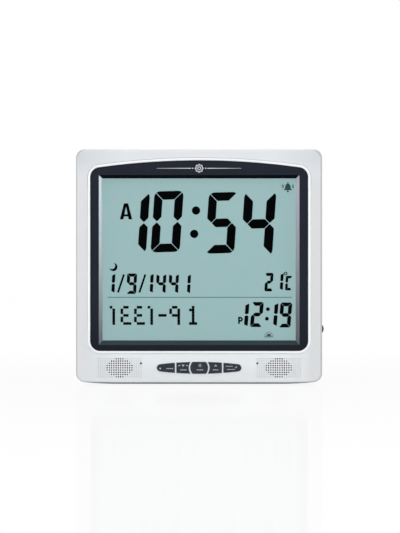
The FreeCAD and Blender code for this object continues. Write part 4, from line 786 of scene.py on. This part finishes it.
# One stroke of a seven-stroke digit, cut from the digit's outer block by straight lines.
# An end meets a lit neighbour at 45 degrees, and is blunter where that neighbour is unlit.
def barsOf(letter, lit, row, width):
    height, bar, gap, blunt = row["height"], row["bar"], row["gap"], row["blunt"]
    block = roundedBlock(width, height, row["corner"])
    middle = height / 2
    a, d = (1.0 if other in lit else blunt for other in "ad")
    b, c, e, f = (1.0 if other in lit else row["flatBlunt"] for other in "bcef")
    high, low = ((1 - slope) * row["trim"] * bar / 2 + gap for slope in (a, d))
    cuts = {
        "a": [(0, 1, height - bar), (1, f, f * height + gap), (-1, b, b * height - width + gap)],
        "d": [(0, -1, -bar), (1, -e, gap), (-1, -c, gap - width)],
        "f": [(-1, 0, -bar), (-a, -1, high - height)],
        "e": [(-1, 0, -bar), (-d, 1, low)],
        "b": [(1, 0, width - bar), (a, -1, a * width - height + high)],
        "c": [(1, 0, width - bar), (d, 1, d * width + low)],
        "g": [(0, 1, middle - bar / 2), (0, -1, -middle - bar / 2)],
    }[letter]
    if letter in "bcef":
        axis = bar / 2 if letter in "ef" else width - bar / 2
        up = 1 if letter in "bf" else -1
        apart = gap if "g" in lit else gap + row["split"]
        for lean in (-1, 1) if "g" in lit else (-blunt, blunt):
            cuts.append((lean, up, up * middle + apart + lean * axis))
    if letter == "g":
        for up in (-1, 1):
            cuts.append((1, up, bar / 2 + gap + up * middle))
            cuts.append((-1, up, -(width - bar / 2) + gap + up * middle))
    for a, b, c in cuts:
        block = clipped(block, a, b, c)
    return block


# The strokes of a row of digits, leaned and tilted about each digit's middle, and its dots.
def rowShapes(row):
    shapes = []
    for character, left, middle, width in row["digits"]:
        lit = segmentLetters[character]
        for letter in lit:
            leaning = []
            for u, v in eased(barsOf(letter, lit, row, width), row["ease"]):
                across, rise = u - width / 2, v - row["height"] / 2
                leaning.append((left + u + row["slant"] * rise, middle + rise + row["tilt"] * across))
            shapes.append(leaning)
    return shapes + [circleShape(x, z, row["dotRadius"]) for x, z in row.get("dots", ())]


def inked(name, shapes, ink="segmentInk"):
    face = displayLook["face"]
    piece = plate(name, shapes, face - displayLook["inkProud"], face + displayLook["inkSunk"])
    return finished(piece, caseBody, "display_film", ink)


marks = {
    "slashes": [((-74.9, 109.0), (-80.9, 91.0)), ((-53.6, 109.0), (-59.6, 91.0))], "slashWidth": 1.95,
    "moon": (-85.5, 116.4, 4.1, 3.35, 2.0, 140),  # middle, radius, radius and shift of the bite, heading
    "ring": (86.2, 109.9, 1.75, 0.85, 20),  # middle, outer and inner radius, sides
    "rule": (0.6, 86.2, 183.6, 0.9),  # middle, width, height
}
morning = {
    "left": -79.0, "right": -66.7, "low": 163.9, "high": 179.8, "leg": 3.5, "crown": 4.1, "crownTall": 3.4,
    "bar": 2.1, "barLow": 2.9, "barOver": 0.9,
}
afternoon = {"left": 38.85, "right": 43.75, "low": 59.75, "high": 66.75, "stroke": 1.7, "bowlLow": 0.42}


# The capital that marks the morning hours: two legs under one crown, and a bar between them.
def morningShapes():
    look = morning
    low, high, leg = look["low"], look["high"], look["leg"]
    middle, half = (look["left"] + look["right"]) / 2, (look["right"] - look["left"]) / 2
    crown = [(middle, high), (middle, high - look["crownTall"])]
    shapes = []
    for side in (-1, 1):
        foot, inner = middle + side * half, middle + side * (half - leg)
        corners = [(inner, low), (foot, low), (middle + side * look["crown"] / 2, high), *crown]
        shapes.append(corners if side > 0 else corners[::-1])
    level = low + look["barLow"] + look["bar"] / 2
    shapes.append(barShape(middle, level, 2 * (half - leg) + look["barOver"], look["bar"]))
    return shapes


# The capital that marks the afternoon hours: a stem and a bowl of short strokes.
def afternoonShapes():
    left, right, low, high, stroke = (afternoon[k] for k in ("left", "right", "low", "high", "stroke"))
    stem = barShape(left + stroke / 2, (low + high) / 2, stroke, high - low)
    bowlHigh, bowlLow = high - stroke / 2, low + (high - low) * afternoon["bowlLow"]
    radius = (bowlHigh - bowlLow) / 2
    x, z = right - stroke / 2 - radius, (bowlHigh + bowlLow) / 2
    turns = [math.radians(a) for a in range(0, 181, 20)]
    path = [(left + stroke, bowlHigh)]
    path += [(x + radius * math.sin(a), z + radius * math.cos(a)) for a in turns]
    path.append((left + stroke, bowlLow))
    return [stem] + [ribbonShape([a, b], stroke) for a, b in zip(path, path[1:])]


def makeDisplayMarks():
    shapes = [ribbonShape(list(pair), marks["slashWidth"]) for pair in marks["slashes"]]
    shapes.append(crescentShape(*marks["moon"]))
    shapes += ringShapes(*marks["ring"])
    inked("dateMarks", shapes)
    inked("ruleLine", [barShape(*marks["rule"])], "ruleInk")
    inked("hourMarks", morningShapes() + afternoonShapes())


symbols = {
    "bell": (88.4, 196.0, 4.9), "sunrise": (69.5, 47.6, 4.6),  # middle and radius
    "fine": 0.62,  # width of the fine lines
    # shares of the sign's radius, but for soundHalf, an angle in radians, and the horizon's drop and height
    "bellOutline": [
        (-0.85, -0.62), (0.85, -0.62), (0.58, -0.25), (0.52, 0.30),
        (0.22, 0.72), (-0.22, 0.72), (-0.52, 0.30), (-0.58, -0.25),
    ],
    "bellEnds": ((-0.86, 0.2, 12), (0.86, 0.13, 10)),  # height, radius, sides
    "soundReach": (0.92, 1.16), "soundHalf": 0.35, "soundRise": 0.15,
    "sun": 0.5, "rays": (0.66, 0.97), "horizon": 1.95, "horizonDrop": 0.8, "horizonTall": 0.75,
}


# Two small signs: a bell with sound lines, and a rising sun over its horizon.
def makeDisplaySymbols():
    look = symbols
    x, z, r = look["bell"]
    shapes = [[(x + r * a, z + r * b) for a, b in look["bellOutline"]]]
    shapes += [circleShape(x, z + r * up, r * wide, sides) for up, wide, sides in look["bellEnds"]]
    middle, half = z + r * look["soundRise"], look["soundHalf"]
    for side in (-1, 1):
        for share in look["soundReach"]:
            reach = r * share
            arc = [(x + side * reach * math.cos(a), middle + reach * math.sin(a)) for a in (-half, 0, half)]
            shapes.append(ribbonShape(arc, look["fine"]))
    x, z, r = look["sunrise"]
    shapes.append([onCircle(x, z, r * look["sun"], math.radians(a)) for a in range(0, 181, 15)])
    for a in range(15, 180, 30):
        ray = [onCircle(x, z, r * end, math.radians(a)) for end in look["rays"]]
        shapes.append(ribbonShape(ray, look["fine"]))
    shapes.append(barShape(x, z - look["horizonDrop"], look["horizon"] * r, look["horizonTall"]))
    inked("displaySymbols", shapes, "symbolInk")


dotRow = {"pitch": 2.70, "left": -87.8, "low": 60.1, "side": 2.66, "thick": 0.07, "proud": 0.015}
dotGlyphs = {
    "one": ["#..", ".#.", ".#.", ".#.", ".#.", ".#.", ".#."],
    "four": [".##.", "#...", "#...", ".##.", "#...", "#...", ".###"],
    "nine": [".##.", "#..#", "#..#", ".###", "...#", "...#", "...#"],
    "dash": ["...", "...", "...", "###", "...", "...", "..."],
    "day": [".#.", "##.", ".#.", ".#.", ".#.", ".#.", "###"],
}
dotLine = [("one", 0), ("four", 4), ("four", 9), ("one", 14), ("dash", 18), ("nine", 22), ("day", 29.3)]


def startGeometry(name, inputs):
    return startGroup(name, "GeometryNodeTree", {**inputs, "Finish": "Material"}, {"Geometry": "Geometry"})


# Ends a geometry tree: a copy on every point, made real and given its finish.
def endGeometry(tree, given, made, points, copy, **turn):
    spread = addNode(tree, "GeometryNodeInstanceOnPoints", {"Points": points, "Instance": copy, **turn})
    real = addNode(tree, "GeometryNodeRealizeInstances", {"Geometry": spread.outputs["Instances"]})
    inputs = {"Geometry": real.outputs["Geometry"], "Material": given["Finish"]}
    fill(tree, made, {"Geometry": addNode(tree, "GeometryNodeSetMaterial", inputs).outputs["Geometry"]})
    return tree


# Runs a geometry tree on a piece and keeps the mesh that it gives.
def grown(piece, tree, values):
    modifier = piece.modifiers.new(tree.name, "NODES")
    modifier.node_group = tree
    for item in tree.interface.items_tree:
        if item.in_out == "INPUT" and item.name in values:
            modifier[item.identifier] = values[item.name]
    return settled(piece)


# Sets one small square dot on every point that it is given.
def dotTree():
    inputs = {"Points": "Geometry", "Dot side": "Float", "Dot depth": "Float"}
    tree, given, made = startGeometry("displayDots", inputs)
    side = given["Dot side"]
    size = addNode(tree, "ShaderNodeCombineXYZ", {"X": side, "Y": given["Dot depth"], "Z": side})
    dot = addNode(tree, "GeometryNodeMeshCube", {"Size": size.outputs["Vector"]})
    return endGeometry(tree, given, made, given["Points"], dot.outputs["Mesh"])


def makeDotRow():
    look = dotRow
    pitch, depth = look["pitch"], displayLook["face"] - look["proud"]
    points = []
    for glyph, start in dotLine:
        cellRows = dotGlyphs[glyph]
        for down, cells in enumerate(cellRows, start=1):
            z = look["low"] + (len(cellRows) - down) * pitch
            for column, cell in enumerate(cells):
                if cell == "#":
                    points.append(((look["left"] + (start + column) * pitch) * mm, depth * mm, z * mm))
    values = {"Dot side": look["side"] * mm, "Dot depth": look["thick"] * mm, "Finish": paint["segmentInk"]}
    return finished(grown(pieceFrom("dotRow", points), dotTree(), values), caseBody, "display_film")


# The tinted film in front of the glass, with its edges broken.
dressed(
    "lcd_front_polariser", "displayFilm", caseBody, "display_film", "displayTint",
    displayLook["filmRoll"], segments=2,
)
for name, row in rows.items():
    inked(name, rowShapes(row))
makeDisplayMarks()
makeDisplaySymbols()
makeDotRow()
print("display done")

# Keys and what is printed on them

keyLook = {
    "crest": -17.1, "crestReach": 0.1, "roll": 0.3, "printRoom": 0.05, "printProud": 0.045, "printSunk": 0.01,
    "dashPitch": 1.75, "dashGap": 0.42, "dashTall": 0.62,
}
# dots, rings, moons and arrows: middle, radius; bars: left, right, middle height, height
keyPrints = {
    "left_end_key": [("dot", -38.7, 15.5, 0.85), ("bars", -32.9, -25.6, 15.4, 1.3)],
    "left_key": [
        ("down", -15.9, 18.4, 1.5), ("bars", -21.0, -18.4, 18.4, 1.2), ("bars", -13.3, -10.7, 18.4, 1.2),
        ("bars", -19.0, -12.4, 14.1, 1.4),
    ],
    "centre_key": [("ring", 0.8, 18.4, 1.35), ("bars", -2.6, 4.2, 14.1, 1.5)],
    "right_key": [("up", 16.4, 18.4, 1.5), ("bars", 13.6, 19.2, 14.1, 1.4)],
    "right_end_key": [
        ("bars", 26.4, 33.4, 17.7, 1.1), ("moon", 36.2, 17.0, 1.2), ("bars", 27.4, 35.4, 14.5, 1.2),
    ],
}


# A row of even dashes under or beside a sign.
def barRow(start, end, level, tall):
    count = max(1, round((end - start) / keyLook["dashPitch"]))
    step = (end - start) / count
    width, height = step - keyLook["dashGap"], tall * keyLook["dashTall"]
    return [barShape(start + step * (i + 0.5), level, width, height) for i in range(count)]


# Each sign is drawn in shares of its radius.
def printShapes(kind, *where):
    if kind == "bars":
        return barRow(*where)
    x, z, r = where
    if kind == "dot":
        return [circleShape(x, z, r, 16)]
    if kind == "ring":
        return ringShapes(x, z, r, r * 0.62, 18) + [barShape(x, z + r * 0.75, r * 0.36, r * 1.0)]
    if kind == "moon":
        return [crescentShape(x, z, r, r * 0.86, r * 0.46, 150)]
    up = 1 if kind == "up" else -1
    arrow = [(x - r * 0.95, z - up * r * 0.6), (x + r * 0.95, z - up * r * 0.6), (x, z + up * r * 0.8)]
    return [arrow if up > 0 else arrow[::-1]]


def makeKeys():
    look = keyLook
    crest, room, reach = look["crest"] * mm, look["printRoom"] * mm, look["crestReach"] * mm

    # The crest of a key goes back by the room that its print needs.
    def lowered(co):
        return Vector((co.x, co.y + room if co.y < crest + reach else co.y, co.z))

    for key, prints in keyPrints.items():
        dressed(key, key + "_cap", key, "key_plastic", "keySlate", look["roll"], angle=25, move=lowered)
        shapes = [shape for one in prints for shape in printShapes(*one)]
        face = look["crest"] + look["printRoom"]
        piece = plate(key + "_print", shapes, face - look["printProud"], face + look["printSunk"])
        finished(piece, key, "key_plastic", "keyPrint")


makeKeys()
print("keys done")

# Volume wheel, leg and battery door, each on its own body

trimPieces = {
    # node: piece, slot, finish, roll, steps of the roll, angle from which edges roll
    "volume_wheel": ("volumeWheel", "wheel_plastic", "wheelBlack", 0.12, 2, 40),
    "desk_stand": ("foldingLeg", "case_plastic", "backTexture", 0.45, 3, 35),
    "battery_door": ("cellDoor", "case_plastic", "backTexture", 0.35, 3, 35),
}
for node, (name, slotName, finishName, roll, segments, angle) in trimPieces.items():
    dressed(node, name, node, slotName, finishName, roll, segments=segments, angle=angle)

gripLook = {
    "count": 5, "first": -4.4, "spacing": 2.2, "thick": 0.7,
    "low": 168.6, "high": 171.1, "bottom": 15.45, "top": 15.9,
}


# Sets a row of upright ribs, one beside the other along X, from one box.
def ribTree():
    inputs = {"Start": "Vector", "Spacing": "Float", "Count": "Int", "Rib size": "Vector"}
    tree, given, made = startGeometry("gripRibs", inputs)
    step = addNode(tree, "ShaderNodeCombineXYZ", {"X": given["Spacing"]})
    row = addNode(tree, "GeometryNodeMeshLine", {
        "Count": given["Count"], "Start Location": given["Start"], "Offset": step.outputs["Vector"],
    })
    rib = addNode(tree, "GeometryNodeMeshCube", {"Size": given["Rib size"]})
    return endGeometry(tree, given, made, row.outputs["Mesh"], rib.outputs["Mesh"])


def makeGripRibs():
    look = gripLook
    depth, level = (look["bottom"] + look["top"]) / 2, (look["low"] + look["high"]) / 2
    size = (look["thick"], look["top"] - look["bottom"], look["high"] - look["low"])
    values = {
        "Start": (look["first"] * mm, depth * mm, level * mm),
        "Spacing": look["spacing"] * mm,
        "Count": look["count"],
        "Rib size": tuple(side * mm for side in size),
        "Finish": paint["backTexture"],
    }
    return finished(grown(pieceFrom("gripRibs", []), ribTree(), values), "battery_door", "case_plastic")


makeGripRibs()

# Screws in the back: one turned screw, set at each place by a geometry tree

screwLook = {
    "seat": 4.4, "sides": 24, "headRadius": 2.8, "headDepth": 2.0, "shankRadius": 1.36, "length": 10.0,
    "thread": 0.9, "threadStart": 1.1, "bare": 1.5, "root": 0.8, "neck": 0.15,
    "tip": ((0.25, 0.0), (0.952, 0.9)),  # radius and distance from the end
    "head": ((1.0, 0.0), (1.0, 0.45), (0.93, 0.8), (0.78, 1.0)),  # shares of the radius and depth
    "crossArm": 1.65, "crossWidth": 0.68, "crossDepth": 1.1, "crossCorner": 1.4, "crossFoot": 0.55,
    "crispAngle": 35,
}
screwPlaces = {"across": 112.0, "heights": (14.0, 118.0, 221.5), "seed": 7}


def latheRing(solid, radius, depth, sides):
    step = 2 * math.pi / sides
    places = [onCircle(0, 0, radius, i * step) for i in range(sides)]
    return [solid.verts.new((x * mm, depth * mm, z * mm)) for x, z in places]


def bridged(solid, first, second):
    for i in range(len(first)):
        j = (i + 1) % len(first)
        solid.faces.new([first[i], first[j], second[j], second[i]])


# The radius and depth of each ring of a pan-headed screw, from its tip to the rim of its head.
def screwProfile():
    s = screwLook
    end, radius = -s["length"], s["shankRadius"]
    profile = [(wide, end + up) for wide, up in s["tip"]]
    for i in range(int((s["length"] - s["bare"]) / s["thread"])):
        start = end + s["threadStart"] + i * s["thread"]
        profile += [(radius * s["root"], start), (radius, start + s["thread"] * 0.5)]
    profile += [(radius * s["root"], -s["neck"]), (radius, 0.0)]
    return profile + [(s["headRadius"] * wide, s["headDepth"] * up) for wide, up in s["head"]]


# One screw along Y, with a coarse thread and a cross in its head.
def makeScrewPattern():
    s, sides = screwLook, screwLook["sides"]
    solid = bmesh.new()
    rings = [latheRing(solid, radius, depth, sides) for radius, depth in screwProfile()]
    for first, second in zip(rings, rings[1:]):
        bridged(solid, first, second)
    solid.faces.new(rings[0][::-1])
    arm, half = s["crossArm"], s["crossWidth"] / 2
    corner, foot, depth = half * s["crossCorner"], s["crossFoot"], s["headDepth"] - s["crossDepth"]
    # one arm of the cross turned three times: twelve corners, one for every second side of the head
    cross = [(arm, -half), (arm, half), (corner, corner)]
    while len(cross) < sides // 2:
        x, z = cross[-3]
        cross.append((-z, x))
    top = [solid.verts.new((x * mm, s["headDepth"] * mm, z * mm)) for x, z in cross]
    floor = [solid.verts.new((x * foot * mm, depth * mm, z * foot * mm)) for x, z in cross]
    bridged(solid, top, floor)
    solid.faces.new(floor)
    rim = rings[-1]
    for i, a in enumerate(top):
        b = top[(i + 1) % len(top)]
        p, q, r = rim[(2 * i - 1) % sides], rim[2 * i], rim[(2 * i + 1) % sides]
        for corners in ([a, p, q], [a, q, r], [a, r, b]):
            solid.faces.new(corners)
    bmesh.ops.recalc_face_normals(solid, faces=solid.faces)
    pattern = released(solid, "screwPattern")
    for face in pattern.data.polygons:
        face.use_smooth = True
    pattern.data.set_sharp_from_angle(angle=math.radians(s["crispAngle"]))
    return pattern


# Sets a turned copy of the screw on every point; each stops at its own angle.
def screwTree():
    tree, given, made = startGeometry("backScrews", {"Points": "Geometry", "Screw": "Object", "Seed": "Int"})
    screw = addNode(tree, "GeometryNodeObjectInfo", {"Object": given["Screw"]})
    turn = addNode(tree, "FunctionNodeRandomValue")
    turn.data_type = "FLOAT_VECTOR"
    fill(tree, turn, {"Min": (0, 0, 0), "Max": (0, math.pi / 2, 0), "Seed": given["Seed"]})
    rotation = turn.outputs["Value"]
    return endGeometry(tree, given, made, given["Points"], screw.outputs["Geometry"], Rotation=rotation)


def makeScrews():
    pattern = makeScrewPattern()
    across, seat = screwPlaces["across"], screwLook["seat"]
    points = [(side * across * mm, seat * mm, z * mm) for side in (-1, 1) for z in screwPlaces["heights"]]
    piece = pieceFrom("backScrews", points)
    grown(piece, screwTree(), {"Screw": pattern, "Seed": screwPlaces["seed"], "Finish": paint["steel"]})
    bpy.data.objects.remove(pattern)
    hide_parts("case_screws")
    return finished(piece, caseBody, "screw_steel")


makeScrews()
print("back done")

# Pieces inside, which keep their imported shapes

innerFinish = {
    "displayGlass": ["lcd_front_glass", "lcd_rear_glass"],
    "reflectorSilver": ["lcd_reflector"],
    "holderIvory": ["lcd_holder"],
    "zebraRubber": ["zebra_strip"],
    "boardGreen": ["main_board", "key_board"],
    "chipBlack": ["controller_glob", "sound_chip", "amplifier_chip", "volume_potentiometer"],
    "capacitorBlue": ["capacitors"],
    "keyRubber": ["key_membrane"],
    "sensorBead": ["temperature_sensor"],
    "basketGrey": ["left_speaker_basket", "right_speaker_basket"],
    "coneFilm": ["left_speaker_cone", "right_speaker_cone"],
    "magnetGrey": ["left_speaker_magnet", "right_speaker_magnet"],
    "gasketFoam": ["speaker_gaskets"],
    "cellJacket": ["batteries"],
    "nickel": ["quartz_crystal", "battery_springs", "battery_contacts"],
    "steel": ["display_screws", "board_screws", "key_board_screws", "speaker_screws"],
    "wireRed": ["speaker_leads", "battery_leads"],
}
for name, nodes in innerFinish.items():
    for node in nodes:
        cad[node].data.materials.clear()
        coated(cad[node], [name])
print("inner pieces done")

# Floor, light and camera

stageLook = {
    "floorReach": 9.0, "near": 0.2, "far": 1.0,  # metres
    "floorWhite": 0.62, "nearGlow": 0.93, "farGlow": 1.0,
    "mirror": 0.06, "mirrorRough": 0.09, "skyColour": (0.96, 0.98, 1.0, 1), "skyStrength": 0.42,
}


# One where a ray comes from the camera, or was mirrored or let through on its way.
def seenRays(tree):
    path = addNode(tree, "ShaderNodeLightPath").outputs
    either = mathOf(tree, "MAXIMUM", path["Is Camera Ray"], path["Is Glossy Ray"])
    return mathOf(tree, "MAXIMUM", either, path["Is Transmission Ray"])


def mixedShader(tree, share, first, second):
    return addNode(tree, "ShaderNodeMixShader", {"Fac": share, 1: first, 2: second}).outputs["Shader"]


# A matt white floor that glows for the camera, more with its distance, under a faint mirror.
def makeFloor():
    look = stageLook
    reach, white = look["floorReach"], look["floorWhite"]
    corners = [(-reach, -reach, 0), (reach, -reach, 0), (reach, reach, 0), (-reach, reach, 0)]
    floor = pieceFrom("floor", corners, [(0, 1, 2, 3)])
    material = bpy.data.materials.new("studioFloor")
    tree = emptyTree(material)
    far = addNode(tree, "ShaderNodeVectorMath", {0: addNode(tree, "ShaderNodeTexCoord").outputs["Object"]})
    far.operation = "LENGTH"
    fade = addNode(tree, "ShaderNodeMapRange", {
        "Value": far.outputs["Value"], "From Min": look["near"], "From Max": look["far"],
        "To Min": look["nearGlow"], "To Max": look["farGlow"],
    })
    share = mathOf(tree, "MULTIPLY", fade.outputs["Result"], seenRays(tree))
    matt = addNode(tree, "ShaderNodeBsdfDiffuse", {"Color": (white, white, white, 1)}).outputs["BSDF"]
    glow = addNode(tree, "ShaderNodeEmission").outputs["Emission"]
    sheen = addNode(tree, "ShaderNodeBsdfGlossy", {"Color": (1, 1, 1, 1), "Roughness": look["mirrorRough"]})
    surface = mixedShader(tree, look["mirror"], mixedShader(tree, share, matt, glow), sheen.outputs["BSDF"])
    addNode(tree, "ShaderNodeOutputMaterial", {"Surface": surface})
    floor.data.materials.append(material)


# A soft pale light from all round, which the camera sees as white.
def makeWorld():
    world = bpy.data.worlds.new("studio")
    bpy.context.scene.world = world
    tree = emptyTree(world)
    white = {"Color": (1, 1, 1, 1)}
    sky = {"Color": stageLook["skyColour"], "Strength": stageLook["skyStrength"]}
    seen, lit = (addNode(tree, "ShaderNodeBackground", look).outputs["Background"] for look in (white, sky))
    addNode(tree, "ShaderNodeOutputWorld", {"Surface": mixedShader(tree, seenRays(tree), lit, seen)})


lamps = {
    # name: place (metres), aim (metres), width, height (metres), power (watts)
    "keyLight": ((-1.4, -2.2, 1.15), (0, 0, 0.12), 1.6, 1.6, 21.5),
    "fillLight": ((1.5, -2.3, 0.8), (0, 0, 0.12), 1.5, 1.5, 21.0),
    "topLight": ((0.0, -0.7, 2.2), (0, 0, 0.12), 1.8, 0.9, 10),
    "rightStrip": ((1.2, -0.18, 0.27), (0, -0.016, 0.16), 0.24, 0.42, 3.6),
    "leftStrip": ((-1.2, -0.18, 0.27), (0, -0.016, 0.16), 0.24, 0.42, 2.2),
    "backLight": ((0.5, 2.3, 1.5), (0, 0, 0.12), 1.6, 1.4, 20),
}


def makeLamps():
    for name, (place, aim, width, height, power) in lamps.items():
        light = bpy.data.lights.new(name, "AREA")
        light.shape = "RECTANGLE"
        light.size, light.size_y = width, height
        light.energy = power
        lamp = linked(name, light)
        lamp.location = place
        lamp.rotation_mode = "QUATERNION"
        lamp.rotation_quaternion = (Vector(aim) - Vector(place)).to_track_quat("-Z", "Y")
        lamp.visible_camera = False


view = {
    "lens": 150.0, "sensor": 36.0, "frameHeight": 530.2, "frontDepth": -16.2, "x": 0.85, "z": 116.9,
    "clipStart": 0.1, "clipEnd": 60,  # metres
}


# Straight on, at the height of the middle of the frame.
def makeCamera():
    data = bpy.data.cameras.new("camera")
    data.lens = view["lens"]
    data.sensor_width = view["sensor"]
    data.clip_start, data.clip_end = view["clipStart"], view["clipEnd"]
    distance = view["frameHeight"] * view["lens"] / view["sensor"]
    camera = linked("camera", data)
    camera.location = (view["x"] * mm, (view["frontDepth"] - distance) * mm, view["z"] * mm)
    camera.rotation_euler = (math.pi / 2, 0, 0)
    bpy.context.scene.camera = camera


makeFloor()
makeWorld()
makeLamps()
makeCamera()
bpy.context.scene.view_settings.view_transform = "Standard"
print("stage done")
